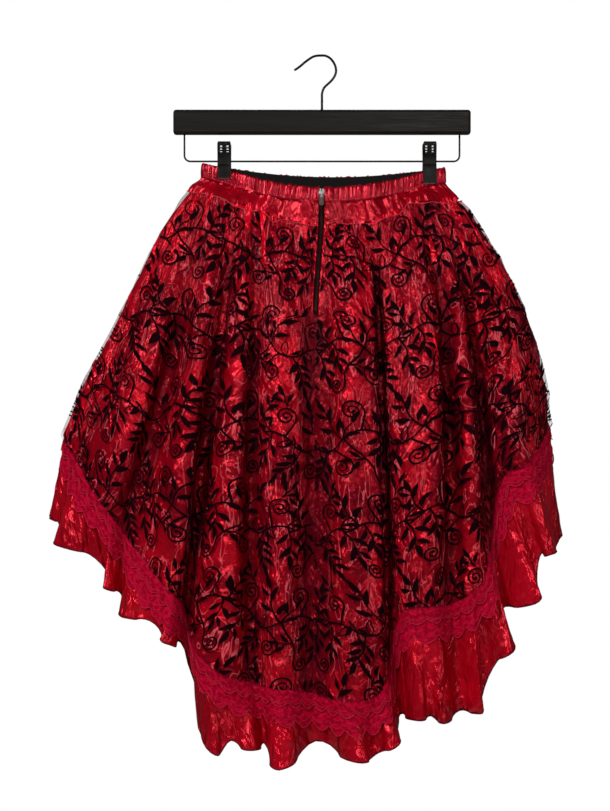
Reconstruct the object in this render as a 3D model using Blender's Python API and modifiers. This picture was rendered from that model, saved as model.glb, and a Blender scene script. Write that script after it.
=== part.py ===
"""A high-low skirt of red satin and organza, hung by its waistband from a clip hanger.

Units are metres with +Z up. The hook's crown is at the origin. The back of the skirt, with the zip
and the long hem, faces -Y. The short front faces +Y. Tables are in millimetres."""

import math

import bmesh
import bpy
import numpy as np

MM = 0.001

# Hanger, from the hook's crown down
WIRE_RADIUS = 1.25
BAR_LENGTH, BAR_DEPTH, BAR_HEIGHT = 350.0, 12.0, 29.0
BAR_TOP = -63.0
BAR_CORNER = 3.0
ROD_RADIUS = 1.1
ROD_HALF_LENGTH = 162.0
ROD_Z = -123.5
ROD_BEND = 7.0
SEAT_GAP = 0.3
HOOK_POINTS = [
    (0.0, -50.0), (0.2, -43.0), (2.4, -37.0), (6.0, -33.2), (9.9, -29.6), (13.6, -25.2), (16.0, -20.4),
    (16.6, -15.6), (15.4, -10.4), (12.6, -5.2), (8.6, -1.2), (3.9, 1.0), (0.0, 1.25), (-5.0, 1.1),
    (-9.6, 0.2), (-13.6, -2.0), (-17.4, -4.6), (-21.3, -7.6), (-25.0, -10.8), (-28.6, -13.6), (-32.6, -16.1),
]

# Clips: centre along the rod, and the z of the foot
CLIPS = [("left", -115.0, -144.0), ("right", 126.6, -150.0)]
CLIP_WIDTH = 15.5
CLIP_TOP = -101.0
CLIP_SPRING_RADIUS = 3.1
CLIP_GRIP = 5.3
CLIP_THICKNESS = 2.2
CLIP_HANDLE_Y = 7.0

# Cloth walls and the layers' heights over the satin
WALL = 1.0
SEAM_GAP = 0.15
OVERLAY_TOP_LIFT, OVERLAY_HEM_LIFT, OVERLAY_SIDE_LIFT = 1.4, 2.9, 2.6
LACE_LOWER_LIFT, LACE_UPPER_LIFT = 1.5, 3.0
LACE_UPPER_DROP, LACE_LOWER_DROP = 24.0, 46.0
MOST_LACE_SHARE = 0.85
FACING_LIFT = -1.35
FACING_INSET = 4

# Waist, yoke and hem
WAIST_SHARE = 0.905
BAND_HEIGHT = 18.0
BAND_TOP_Z = -128.5
BAND_SAG_BACK, BAND_SAG_FRONT = 28.0, 12.0
GATHERS_BACK, GATHERS_FRONT = 44, 40
GATHER_HEIGHT = 0.9
BAND_TILT = 2.5
MID_Z = -312.0
# How far the near (back) and the far (front) half stand from the hanger's plane at each level
MOUTH_HALF_WIDTH = 105.0
MOUTH_BACK, MOUTH_FRONT = 16.0, 8.0
WAIST_SIDE_DEPTH = 2.4
SEAM_BACK, SEAM_FRONT = 20.0, 11.0
MID_BACK, MID_FRONT = 60.0, 20.0
HEM_BACK, HEM_FRONT = 88.0, 27.0
RUFFLE_TUCK = 6.0
LACE_START = 9.5
RUFFLE_GAP = 0.8
SKIRT_ROWS = [2.25, 2.6, 2.95, 3.45]

# Zip down the centre back
ZIP_HALF_SLIT = 3.5
TAPE_SHARE = 0.55
TAPE_LIFT = -2.4
CHAIN_FOOT = -0.1
ZIP_LEVELS = [1.0, 2.0, 2.25, 2.6]
ZIP_TOP_LEVEL, ZIP_END_LEVEL = 0.1, 2.95
CHAIN_WIDTH, CHAIN_THICKNESS = 4.5, 1.6
SLIDER_LENGTH, SLIDER_WIDTH, SLIDER_THICKNESS = 9.5, 6.2, 1.6
SLIDER_Z = -165.5
PULL_LENGTH, PULL_WIDTH, PULL_THICKNESS = 13.5, 5.6, 1.0
PULL_EYE, PULL_ARM = 3.9, 1.35
BRIDGE_WIDTH, BRIDGE_LENGTH, BRIDGE_HEIGHT = 1.6, 6.0, 2.6
BRIDGE_EYE_LENGTH, BRIDGE_EYE_HEIGHT = 3.4, 1.7

# Fold lines of the skirt. Lift is how far a fold stands out of the plain rounded form.
# name, seam x, seam z, mid x, mid lift, hem x, hem lift, hem z
BACK_FOLDS = [
    ("side_left", -154, -157, -227, 0, -303, 0, -448),
    ("left_groove", -149, -160, -209, -2, -281, -4, -481),
    ("left_ridge", -142, -162, -188, 5, -251, 9, -526),
    ("left_valley", -134, -164, -160, -6, -222, -10, -566),
    ("left_second_ridge", -117, -168, -137, 6, -173, 12, -621),
    ("left_fold_back", -99, -173, -115, -7, -157, -15, -648),
    ("centre_left_edge", -91, -174, -104, 2, -141, 3, -689),
    ("centre_first_ridge", -84, -175, -91, 5, -109, 12, -715),
    ("centre_first_valley", -70, -181, -74, -4, -81, -9, -725),
    ("centre_second_ridge", -41, -194, -43, 4, -45, 10, -730),
    ("centre_back", -1, -198, -8, -5, -10, -9, -736),
    ("centre_third_ridge", 25, -197, 27, 6, 27, 12, -743),
    ("centre_right_edge", 46, -197, 54, 1, 63, 3, -734),
    ("deep_valley", 58, -192, 66, -11, 76, -21, -693),
    ("right_start", 69, -190, 80, -1, 91, 1, -646),
    ("right_ridge", 91, -180, 116, 6, 118, 12, -638),
    ("right_groove", 107, -171, 136, -4, 145, -6, -637),
    ("right_second_ridge", 119, -170, 153, 5, 167, 10, -625),
    ("right_edge", 125, -169, 161, 3, 181, 8, -607),
    ("right_fold_back", 130, -169, 171, -6, 194, -14, -552),
    ("side_panel_start", 136, -169, 183, -2, 209, -4, -493),
    ("side_panel_ridge", 146, -167, 199, 4, 235, 8, -479),
]
FRONT_FOLDS = [
    ("side_right", 158, -166, 230, 0, 266, 0, -434),
    ("front_a", 144, -167, 204, 1, 240, 2, -434),
    ("front_b", 124, -168, 168, -3, 198, -5, -431),
    ("front_c", 76, -170, 104, 3, 124, 5, -427),
    ("front_d", 26, -172, 34, -3, 40, -6, -424),
    ("front_e", -28, -172, -36, 3, -46, 6, -424),
    ("front_f", -78, -170, -108, -3, -140, -5, -430),
    ("front_g", -126, -164, -174, 3, -226, 5, -438),
    ("front_h", -148, -160, -213, 1, -284, 2, -446),
]

# Waves of the ruffle's edge along the back: a crest, then the hollow that follows it. Fold is the
# fold line, by number, that each hangs from.
# name, crest fold, crest x, crest z, hollow fold, hollow x, hollow z
BACK_WAVES = [
    ("a", 0.0, -318, -545, 0.55, -304, -555),
    ("b", 1.0, -306, -573, 2.1, -247, -601),
    ("c", 2.4, -247, -620, 2.8, -230, -632),
    ("d", 3.2, -230, -651, 3.95, -190, -658),
    ("f", 4.3, -176, -678, 5.1, -153, -706),
    ("h", 6.4, -126, -798, 7.0, -104, -787),
    ("i", 7.7, -80, -798, 8.2, -64, -795),
    ("j", 8.9, -49, -816, 10.0, -8, -791),
    ("k", 11.0, 38, -807, 11.6, 58, -803),
    ("l", 12.2, 81, -794, 13.0, 87, -767),
    ("m", 14.2, 106, -763, 14.8, 122, -760),
    ("n", 15.4, 138, -767, 16.1, 156, -759),
    ("o", 16.9, 178, -757, 17.5, 184, -730),
    ("p", 18.2, 217, -686, 19.0, 204, -651),
    ("q", 19.7, 243, -637, 20.3, 248, -592),
    ("r", 21.0, 262, -581, 21.5, 272, -576),
    ("s", 22.0, 283, -562, 22.4, 270, -548),
]
FRONT_WAVES = 9
FRONT_WAVE_RISE = 6.0
FRONT_WAVE_DROP = 101.0
WAVE_DEPTH = 10.0
WAVE_SPREAD = 1.06

BACK_COUNT = len(BACK_FOLDS)
RING = BACK_COUNT + len(FRONT_FOLDS)
CENTRE_BACK = 10.0
# Steps of level and of ruffle height over which a slope is read
LEVEL_STEP, RUFFLE_STEP = 0.01, 0.02

COLOURS = {
    "satin": ((0.42, 0.0, 0.012), 0.34, 0.0),
    "band": ((0.45, 0.005, 0.03), 0.4, 0.0),
    "organza": ((0.26, 0.0, 0.02), 0.5, 0.0),
    "lace": ((0.3, 0.0, 0.03), 0.7, 0.0),
    "black_cloth": ((0.012, 0.01, 0.012), 0.8, 0.0),
    "bar": ((0.012, 0.01, 0.009), 0.4, 0.0),
    "clip": ((0.008, 0.008, 0.008), 0.35, 0.0),
    "steel": ((0.5, 0.5, 0.5), 0.25, 1.0),
    "zip_metal": ((0.6, 0.6, 0.62), 0.25, 1.0),
    "dark_metal": ((0.06, 0.055, 0.05), 0.35, 1.0),
}


def clear_scene():
    for obj in list(bpy.data.objects):
        bpy.data.objects.remove(obj, do_unlink=True)


def make_collection(name):
    collection = bpy.data.collections.new(name)
    bpy.context.scene.collection.children.link(collection)
    return collection


def material(name):
    colour, roughness, metallic = COLOURS[name]
    found = bpy.data.materials.get(name)
    if found:
        return found
    made = bpy.data.materials.new(name)
    made.use_nodes = True
    shader = made.node_tree.nodes["Principled BSDF"]
    shader.inputs["Base Color"].default_value = (*colour, 1.0)
    shader.inputs["Roughness"].default_value = roughness
    shader.inputs["Metallic"].default_value = metallic
    return made


def add_object(name, data, finish, collection):
    obj = bpy.data.objects.new(name, data)
    collection.objects.link(obj)
    obj.data.materials.append(material(finish))
    return obj


def object_from_bmesh(name, shape, finish, collection, smooth=False):
    """Makes an object from a bmesh in millimetres."""
    bmesh.ops.scale(shape, vec=(MM, MM, MM), verts=shape.verts)
    bmesh.ops.recalc_face_normals(shape, faces=shape.faces)
    if shape.calc_volume(signed=True) < 0:
        bmesh.ops.reverse_faces(shape, faces=shape.faces)
    mesh = bpy.data.meshes.new(name)
    shape.to_mesh(mesh)
    shape.free()
    if smooth:
        mesh.shade_smooth()
    return add_object(name, mesh, finish, collection)


def closed_spline(rows, at):
    """Catmull-Rom through the rows of a closed table, read at each place in at."""
    count = len(rows)
    at = np.asarray(at, float)
    base = np.floor(at).astype(int)
    f = (at - base)[:, None]
    a, b, c, d = (rows[(base + step) % count] for step in (-1, 0, 1, 2))
    return b + 0.5 * f * (c - a + f * (2 * a - 5 * b + 4 * c - d + f * (3 * (b - c) + d - a)))


def unit(vectors):
    return vectors / np.maximum(np.linalg.norm(vectors, axis=-1, keepdims=True), 1e-9)


def eased(normals):
    """Normals shared a little with the columns to either side, so that layers part evenly in folds."""
    return unit(2 * normals + np.roll(normals, 1, axis=-2) + np.roll(normals, -1, axis=-2))


def side_ratio(x, left, right):
    """How far x is from the middle to the side: 0 in the middle and 1 at either side."""
    return min(1.0, x / left if x < 0 else x / right)


def side_curve(x, left, right, power):
    """1 in the middle, falling to 0 at either side."""
    return max(0.0, 1.0 - side_ratio(x, left, right) ** 2) ** power


def fold_levels():
    """The skirt's five levels at each fold line: band top, band foot, seam, mid and hem."""
    left, right = BACK_FOLDS[0], FRONT_FOLDS[0]
    rows = []
    for place, row in enumerate(BACK_FOLDS + FRONT_FOLDS):
        _, seam_x, seam_z, mid_x, mid_lift, hem_x, hem_lift, hem_z = row
        back = place < BACK_COUNT
        face = -1.0 if back else 1.0
        waist_x = WAIST_SHARE * seam_x
        s = side_ratio(seam_x, left[1], right[1])
        open_share = 1.0 - s * s
        sag = BAND_SAG_BACK * open_share**1.3 if back else BAND_SAG_FRONT * open_share
        top_z = BAND_TOP_Z - sag - BAND_TILT * (s if waist_x > 0 else -s)
        mouth = max(0.0, 1.0 - (waist_x / MOUTH_HALF_WIDTH) ** 2)
        from_side = min(1.0, 12.0 * (1.0 - s))
        waist_y = face * (WAIST_SIDE_DEPTH * from_side + (MOUTH_BACK if back else MOUTH_FRONT) * mouth)
        foot_y = waist_y + face * (0.3 + 2.0 * mouth) * from_side
        seam_y = face * (SEAM_BACK if back else SEAM_FRONT) * math.sqrt(open_share)
        mid_depth = (MID_BACK if back else MID_FRONT) * side_curve(mid_x, left[3], right[3], 0.55)
        hem_depth = (HEM_BACK if back else HEM_FRONT) * side_curve(hem_x, left[5], right[5], 0.5)
        rows.append([
            (waist_x, waist_y, top_z),
            (waist_x * 1.015, foot_y, top_z - BAND_HEIGHT),
            (seam_x, seam_y, seam_z),
            (mid_x, face * (mid_depth + mid_lift), MID_Z),
            (hem_x, face * (hem_depth + hem_lift), hem_z),
        ])
    return np.array(rows, float)


def wave_rows(folds):
    """The ruffle's edge, crest and hollow by turns: fold number, x, y and z of each."""
    marks = []
    for _, crest_fold, crest_x, crest_z, hollow_fold, hollow_x, hollow_z in BACK_WAVES:
        marks += [(crest_fold, crest_x, crest_z), (hollow_fold, hollow_x, hollow_z)]
    first, last = BACK_WAVES[-1][4] + 0.4, RING - 0.4
    for number in range(2 * FRONT_WAVES):
        fold = first + (last - first) * number / (2 * FRONT_WAVES - 1)
        edge = closed_spline(folds[:, 4], [fold])[0]
        rise = FRONT_WAVE_RISE if number % 2 else 0.0
        marks.append((fold, edge[0] * WAVE_SPREAD, edge[2] - FRONT_WAVE_DROP + rise))
    rows = []
    for number, (fold, x, z) in enumerate(marks):
        edge = closed_spline(folds[:, 4], [fold])[0]
        face = -1.0 if fold <= BACK_COUNT else 1.0
        from_side = min(abs(fold - side) for side in (0.0, BACK_COUNT, RING))
        depth = WAVE_DEPTH * min(1.0, from_side / 1.5)
        rows.append((fold, x, edge[1] * 1.08 + face * (-depth if number % 2 else depth), z))
    return np.array(rows, float)


def rounded_waves(places):
    """Places along the crests and hollows, held back near each crest so that its foot is round."""
    row = np.floor(places)
    f = places - row
    return row + np.where(row % 2 == 0, f * f, 1.0 - (1.0 - f) ** 2)


class Skirt:
    """The skirt's form, as columns of points that every layer shares."""

    def __init__(self, columns_per_row):
        folds = fold_levels()
        waves = wave_rows(folds)
        places = np.arange(len(waves) * columns_per_row) / columns_per_row
        numbers = np.append(waves[:, 0], waves[0, 0] + RING)
        self.fold_numbers = np.interp(places, np.arange(len(numbers)), numbers)
        self.levels = np.stack([closed_spline(folds[:, k], self.fold_numbers) for k in range(5)])
        self.knots = np.zeros(self.levels.shape[:2])
        self.knots[1:] = np.cumsum(np.linalg.norm(np.diff(self.levels, axis=0), axis=2), axis=0)
        self.edge = closed_spline(waves[:, 1:], places)
        self.edge[:, 2] = closed_spline(waves[:, 3:], rounded_waves(places))[:, 0]
        self.count = len(places)

    def column(self, fold_number):
        """The column that lies on a fold line."""
        return int(np.argmin(abs(self.fold_numbers - fold_number)))

    def at_level(self, level):
        """A ring of points at a level, 0 at the band's top to 4 at the hem."""
        level = np.broadcast_to(np.asarray(level, float), self.count)
        base = np.clip(np.floor(level).astype(int), 0, 3)
        f = (level - base)[:, None]
        here = np.arange(self.count)
        low, high = np.maximum(base - 1, 0), np.minimum(base + 2, 4)
        p0, p1, p2, p3 = (self.levels[k, here] for k in (low, base, base + 1, high))
        k0, k1, k2, k3 = (self.knots[k, here][:, None] for k in (low, base, base + 1, high))
        step = k2 - k1
        m1, m2 = (p2 - p0) / (k2 - k0) * step, (p3 - p1) / (k3 - k1) * step
        return (
            (2 * f**3 - 3 * f**2 + 1) * p1 + (f**3 - 2 * f**2 + f) * m1
            + (3 * f**2 - 2 * f**3) * p2 + (f**3 - f**2) * m2
        )

    def level_below(self, level, millimetres):
        """The level that lies so many millimetres below a whole level, or above it if negative."""
        step = self.knots[min(level + 1, 4)] - self.knots[min(level, 3)]
        if millimetres < 0:
            step = self.knots[level] - self.knots[level - 1]
        return level + millimetres / step

    def grid(self, levels):
        """Points and outward normals for a list of levels."""
        points = np.stack([self.at_level(level) for level in levels])
        below = np.stack([self.at_level(np.minimum(level + LEVEL_STEP, 4.0)) for level in levels])
        above = np.stack([self.at_level(np.maximum(level - LEVEL_STEP, 0.0)) for level in levels])
        along = np.roll(points, -1, axis=1) - np.roll(points, 1, axis=1)
        return points, eased(unit(np.cross(below - above, along)))

    def ruffle_top(self):
        points, normals = self.grid([self.level_below(4, -RUFFLE_TUCK)])
        return points[0], normals[0]

    def ruffle_share(self, drop):
        """How far down the ruffle a drop in millimetres is, from 0 at its top to 1 at its edge."""
        length = np.linalg.norm(self.edge - self.ruffle_top()[0], axis=1)
        return np.minimum(drop / length, MOST_LACE_SHARE)

    def ruffle_ring(self, share):
        top = self.ruffle_top()[0]
        share = np.broadcast_to(np.asarray(share, float), self.count)[:, None]
        return top + (self.edge - top) * share

    def ruffle_grid(self, shares):
        """Points and normals of the ruffle at each share of its height."""
        top_normals = self.ruffle_top()[1]
        points, normals = [], []
        for share in shares:
            here = self.ruffle_ring(share)
            lower = self.ruffle_ring(np.asarray(share) + RUFFLE_STEP)
            down = lower - self.ruffle_ring(np.maximum(share, RUFFLE_STEP) - RUFFLE_STEP)
            along = np.roll(here, -1, axis=0) - np.roll(here, 1, axis=0)
            blend = np.clip(np.broadcast_to(share, self.count) / 0.6, 0.0, 1.0)[:, None] ** 1.5
            own = eased(unit(np.cross(down, along)))
            points.append(here)
            normals.append(unit(top_normals * (1 - blend) + own * blend))
        return np.stack(points), np.stack(normals)


def between(grid, place):
    """The points of a grid at a column number that may fall between two columns."""
    count = grid.shape[1]
    low = int(math.floor(place))
    f = place - low
    return grid[:, low % count] * (1 - f) + grid[:, (low + 1) % count] * f


def cloth_wall(name, grid, normals, places, inner, outer, gaps, finish, collection):
    """A closed wall over some columns of a grid. Inner and outer are its heights over the grid,
    one number or one for each point, and gaps are how far its first and last columns draw back."""
    points = np.stack([between(grid, place) for place in places], axis=1)
    facing = unit(np.stack([between(normals, place) for place in places], axis=1))
    first = unit(points[:, 1] - points[:, 0]) * np.reshape(gaps[0], (-1, 1))
    last = unit(points[:, -2] - points[:, -1]) * np.reshape(gaps[1], (-1, 1))
    points[:, 0] += first
    points[:, -1] += last
    rows, columns = points.shape[:2]
    low = points + facing * np.broadcast_to(np.asarray(inner, float), (rows, columns))[..., None]
    high = points + facing * np.broadcast_to(np.asarray(outer, float), (rows, columns))[..., None]
    shape = bmesh.new()
    skins = [[[shape.verts.new(p) for p in row] for row in skin] for skin in (low, high)]
    for skin in skins:
        for i in range(rows - 1):
            for j in range(columns - 1):
                a, b, c, d = skin[i][j], skin[i][j + 1], skin[i + 1][j + 1], skin[i + 1][j]
                shape.faces.new((a, b, c))
                shape.faces.new((a, c, d))
    rim = [(0, j) for j in range(columns)] + [(i, columns - 1) for i in range(1, rows)]
    rim += [(rows - 1, j) for j in range(columns - 2, -1, -1)] + [(i, 0) for i in range(rows - 2, 0, -1)]
    for (i, j), (k, m) in zip(rim, rim[1:] + rim[:1]):
        shape.faces.new((skins[0][i][j], skins[0][k][m], skins[1][k][m], skins[1][i][j]))
    bmesh.ops.triangulate(shape, faces=shape.faces)
    return object_from_bmesh(name, shape, finish, collection, smooth=True)


def panel_spans(skirt):
    """First and last column of the back left, back right and front panels."""
    centre, side = skirt.column(CENTRE_BACK), skirt.column(BACK_COUNT)
    return {"back_left": (0, centre), "back_right": (centre, side), "front": (side, skirt.count)}


def centre_gaps(panel, levels, width):
    """How far a panel's first and last columns draw back: the zip's slit, or a closed seam."""
    highest = np.array([np.max(level) for level in levels])
    open_rows = np.where(highest < ZIP_END_LEVEL + 0.01, width, SEAM_GAP)
    closed = np.full(len(levels), SEAM_GAP)
    return {"back_left": (closed, open_rows), "back_right": (open_rows, closed)}.get(panel, (closed, closed))


def build_panels(skirt, collection):
    """Yoke, underskirt and overlay, each in a back left, a back right and a front."""
    yoke_levels = [skirt.level_below(1, SEAM_GAP), 2.0]
    under_levels = [skirt.level_below(2, 2 * SEAM_GAP), *SKIRT_ROWS, skirt.level_below(4, -RUFFLE_TUCK)]
    over_levels = [*under_levels, 4.0]
    rise = np.array([0.0, 0.3, 0.5, 0.8, 1.0, 1.0, 1.0])[:, None]
    arch = np.array([0.0, 0.5, 0.9, 1.0, 0.6, 0.1, 0.0])[:, None]
    lift = OVERLAY_TOP_LIFT + (OVERLAY_HEM_LIFT - OVERLAY_TOP_LIFT) * rise
    lift = lift + OVERLAY_SIDE_LIFT * arch * side_share(skirt)[None, :]
    layers = [
        ("yoke", yoke_levels, 0.0, ZIP_HALF_SLIT, "satin"),
        ("underskirt", under_levels, 0.0, ZIP_HALF_SLIT, "satin"),
        ("overlay", over_levels, lift, ZIP_HALF_SLIT + 1.0, "organza"),
    ]
    for piece, levels, height, width, finish in layers:
        points, normals = skirt.grid(levels)
        for panel, (start, end) in panel_spans(skirt).items():
            places = list(range(start, end + 1))
            foot = height if piece != "overlay" else lift[:, [place % skirt.count for place in places]]
            gaps = centre_gaps(panel, levels, width)
            name = f"{piece}_{panel}"
            cloth_wall(name, points, normals, places, foot, foot + WALL, gaps, finish, collection)


def side_share(skirt):
    """1 at a side seam, falling to 0 about two folds from it."""
    numbers = skirt.fold_numbers % RING
    away = np.min([abs(numbers - side) for side in (0.0, BACK_COUNT, RING)], axis=0)
    return np.clip(1.0 - away / 2.2, 0.0, 1.0) ** 1.5


def build_waistband(skirt, collection):
    """The gathered casing, raised in its outer points, and the facing inside its front part."""
    levels = [0.0, skirt.level_below(1, -SEAM_GAP)]
    points, normals = skirt.grid(levels)
    spans = panel_spans(skirt)
    back_length = spans["back_right"][1]
    for panel, (start, end) in spans.items():
        share = (end - start) / back_length * GATHERS_BACK if panel != "front" else GATHERS_FRONT
        count = 2 * round(share) + 1
        places = even_places(points[0], start, end, count)
        outer = WALL + np.where(np.arange(count) % 2, GATHER_HEIGHT, 0.0)[None, :]
        gaps = centre_gaps(panel, levels, ZIP_HALF_SLIT)
        name = f"waistband_{panel}"
        cloth_wall(name, points, normals, places, 0.0, outer, gaps, "band", collection)
    start, end = spans["front"]
    places = list(range(start + FACING_INSET, end - FACING_INSET + 1))
    cloth_wall("waist_facing_front", points, normals, places, FACING_LIFT, FACING_LIFT + WALL,
               (0.0, 0.0), "black_cloth", collection)


def even_places(ring, start, end, count):
    """Column numbers that lie evenly along a ring of points."""
    columns = [column % len(ring) for column in range(start, end + 1)]
    steps = np.linalg.norm(np.diff(ring[columns], axis=0), axis=1)
    travel = np.append(0.0, np.cumsum(steps))
    return np.interp(np.linspace(0.0, travel[-1], count), travel, np.arange(start, end + 1))


def build_ruffle(skirt, collection):
    """The satin ruffle and the two tiers of lace over it, each with a back and a front length."""
    spans = panel_spans(skirt)
    lengths = {"back": (0, spans["back_right"][1]), "front": spans["front"]}
    drops = (LACE_START, LACE_START + LACE_UPPER_DROP, LACE_START + LACE_LOWER_DROP)
    top, middle, lower = (skirt.ruffle_share(drop) for drop in drops)
    layers = [
        ("ruffle", [skirt.ruffle_share(RUFFLE_GAP), top, middle, lower, 1.0], 0.0, "satin"),
        ("lace_lower", [top, middle, lower], LACE_LOWER_LIFT, "lace"),
        ("lace_upper", [top, middle], LACE_UPPER_LIFT, "lace"),
    ]
    for piece, shares, lift, finish in layers:
        points, normals = skirt.ruffle_grid(shares)
        for length, (start, end) in lengths.items():
            places = list(range(start, end + 1))
            cloth_wall(f"{piece}_{length}", points, normals, places, lift, lift + WALL,
                       (SEAM_GAP, SEAM_GAP), finish, collection)


def rounded_box(name, low, high, bevel, finish, collection):
    bpy.ops.mesh.primitive_cube_add(size=1.0)
    obj = bpy.context.object
    obj.name = name
    low, high = np.array(low, float) * MM, np.array(high, float) * MM
    obj.location = (low + high) / 2
    obj.scale = high - low
    bpy.ops.object.transform_apply(location=False, rotation=False, scale=True)
    bevel_edges(obj, bevel)
    move_to(obj, finish, collection)
    return obj


def bevel_edges(obj, width, segments=2):
    modifier = obj.modifiers.new("rounded edges", "BEVEL")
    modifier.width = width * MM
    modifier.segments = segments
    modifier.limit_method = "ANGLE"


def move_to(obj, finish, collection):
    for old in list(obj.users_collection):
        old.objects.unlink(obj)
    collection.objects.link(obj)
    obj.data.materials.append(material(finish))


def wire(name, points, radius, finish, collection, resolution=2):
    curve = bpy.data.curves.new(name, "CURVE")
    curve.dimensions = "3D"
    curve.bevel_depth = radius * MM
    curve.bevel_resolution = resolution
    curve.use_fill_caps = True
    spline = curve.splines.new("POLY")
    spline.points.add(len(points) - 1)
    for place, point in zip(spline.points, points):
        place.co = (*(value * MM for value in point), 1.0)
    return add_object(name, curve, finish, collection)


def build_hanger(collection):
    rounded_box(
        "hanger_bar",
        (-BAR_LENGTH / 2, -BAR_DEPTH / 2, BAR_TOP - BAR_HEIGHT),
        (BAR_LENGTH / 2, BAR_DEPTH / 2, BAR_TOP),
        BAR_CORNER, "bar", collection,
    )
    route = [(0.0, 0.0, BAR_TOP + SEAT_GAP)] + [(x, 0.0, z) for x, z in HOOK_POINTS]
    wire("hanger_hook", route, WIRE_RADIUS, "dark_metal", collection)
    wire("hanger_rod", rod_route(), ROD_RADIUS, "dark_metal", collection)


def rod_route():
    """Down from the bar, round a bend, along, and up again."""
    bar_foot = BAR_TOP - BAR_HEIGHT - SEAT_GAP
    centre_x, centre_z = ROD_HALF_LENGTH - ROD_BEND, ROD_Z + ROD_BEND
    quarter = []
    for step in range(5):
        angle = math.pi / 2 * step / 4
        quarter.append((centre_x + ROD_BEND * math.cos(angle), centre_z - ROD_BEND * math.sin(angle)))
    right = [(ROD_HALF_LENGTH, bar_foot)] + quarter
    left = [(-x, z) for x, z in reversed(right)]
    return [(x, 0.0, z) for x, z in right + left]


def extruded(name, outline, x_low, x_high, finish, collection):
    """A side outline in Y and Z, carried from one x to another."""
    shape = bmesh.new()
    face = shape.faces.new([shape.verts.new((x_low, y, z)) for y, z in outline])
    made = bmesh.ops.extrude_face_region(shape, geom=[face])
    moved = [item for item in made["geom"] if isinstance(item, bmesh.types.BMVert)]
    bmesh.ops.translate(shape, vec=(x_high - x_low, 0.0, 0.0), verts=moved)
    return object_from_bmesh(name, shape, finish, collection)


def build_clips(collection):
    """Each clip is two plates that meet the band, with a coil spring on the rod between them."""
    thick = CLIP_THICKNESS
    for side, x, foot in CLIPS:
        low, high = x - CLIP_WIDTH / 2, x + CLIP_WIDTH / 2
        rod_y = CLIP_SPRING_RADIUS + SEAT_GAP
        inner = [(CLIP_HANDLE_Y, CLIP_TOP), (rod_y, ROD_Z + 3.0), (rod_y, ROD_Z - 4.0),
                 (CLIP_GRIP, ROD_Z - 8.0), (CLIP_GRIP, foot)]
        outer = [(CLIP_GRIP + thick, foot), (CLIP_GRIP + thick, ROD_Z - 8.0), (rod_y + thick, ROD_Z - 3.0),
                 (rod_y + thick, ROD_Z + 4.0), (CLIP_HANDLE_Y + thick, CLIP_TOP)]
        for face, sign in (("front", -1.0), ("back", 1.0)):
            outline = [(sign * y, z) for y, z in inner + outer]
            plate = extruded(f"clip_{face}_{side}", outline, low, high, "clip", collection)
            bevel_edges(plate, 0.5, 1)
        build_spring(f"clip_spring_{side}", x, collection)


def build_spring(name, x, collection):
    """The coil as one turned sleeve round the rod."""
    inner = ROD_RADIUS + SEAT_GAP
    half = CLIP_WIDTH / 2 - 1.0
    shape = bmesh.new()
    profile = [(-half, inner), (half, inner), (half, CLIP_SPRING_RADIUS), (-half, CLIP_SPRING_RADIUS)]
    verts = [shape.verts.new((along, radius, 0.0)) for along, radius in profile]
    edges = [shape.edges.new((a, b)) for a, b in zip(verts, verts[1:] + verts[:1])]
    bmesh.ops.spin(
        shape, geom=verts + edges, cent=(0, 0, 0), axis=(1, 0, 0), angle=2 * math.pi, steps=16
    )
    bmesh.ops.remove_doubles(shape, verts=shape.verts, dist=0.001)
    bmesh.ops.translate(shape, vec=(x, 0.0, ROD_Z), verts=shape.verts)
    object_from_bmesh(name, shape, "steel", collection, smooth=True)


def zip_levels(skirt, start_z, end_z, count):
    """Levels down the centre back line whose heights run evenly from one z to another."""
    column = skirt.column(CENTRE_BACK)
    levels = np.linspace(0.0, 4.0, 401)
    heights = np.array([skirt.at_level(level)[column, 2] for level in levels])
    return np.interp(-np.linspace(start_z, end_z, count), -heights, levels)


def build_zip(skirt, collection):
    """Tapes inside the slit, and the chain, stops, slider and pull tab on them."""
    column = skirt.column(CENTRE_BACK)
    points, normals = skirt.grid([ZIP_TOP_LEVEL, *ZIP_LEVELS, ZIP_END_LEVEL])
    tapes = {
        "zip_tape_left": ([column - TAPE_SHARE, column], (0.0, 0.4)),
        "zip_tape_right": ([column, column + TAPE_SHARE], (0.4, 0.0)),
    }
    for name, (places, gaps) in tapes.items():
        cloth_wall(name, points, normals, places, TAPE_LIFT, TAPE_LIFT + WALL, gaps,
                   "black_cloth", collection)
    build_chain(skirt, [ZIP_TOP_LEVEL + 0.2, *ZIP_LEVELS, ZIP_END_LEVEL - 0.05], column, collection)
    frame = zip_frame(skirt, column)
    build_stops(frame, collection)
    build_slider(frame, collection)
    build_pull(frame, collection)


def zip_frame(skirt, column, z=SLIDER_Z):
    """A point on the zip's centre line, with the directions across it, down it and out of it."""
    level = zip_levels(skirt, z, z - 1.0, 2)
    points, normals = skirt.grid(list(level))
    down = unit(points[1, column] - points[0, column])
    across = np.array([1.0, 0.0, 0.0])
    across = unit(across - down * across.dot(down))
    out = unit(np.cross(down, across))
    if out[1] > 0:
        out = -out
    return points[0, column], across, down, out


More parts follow.
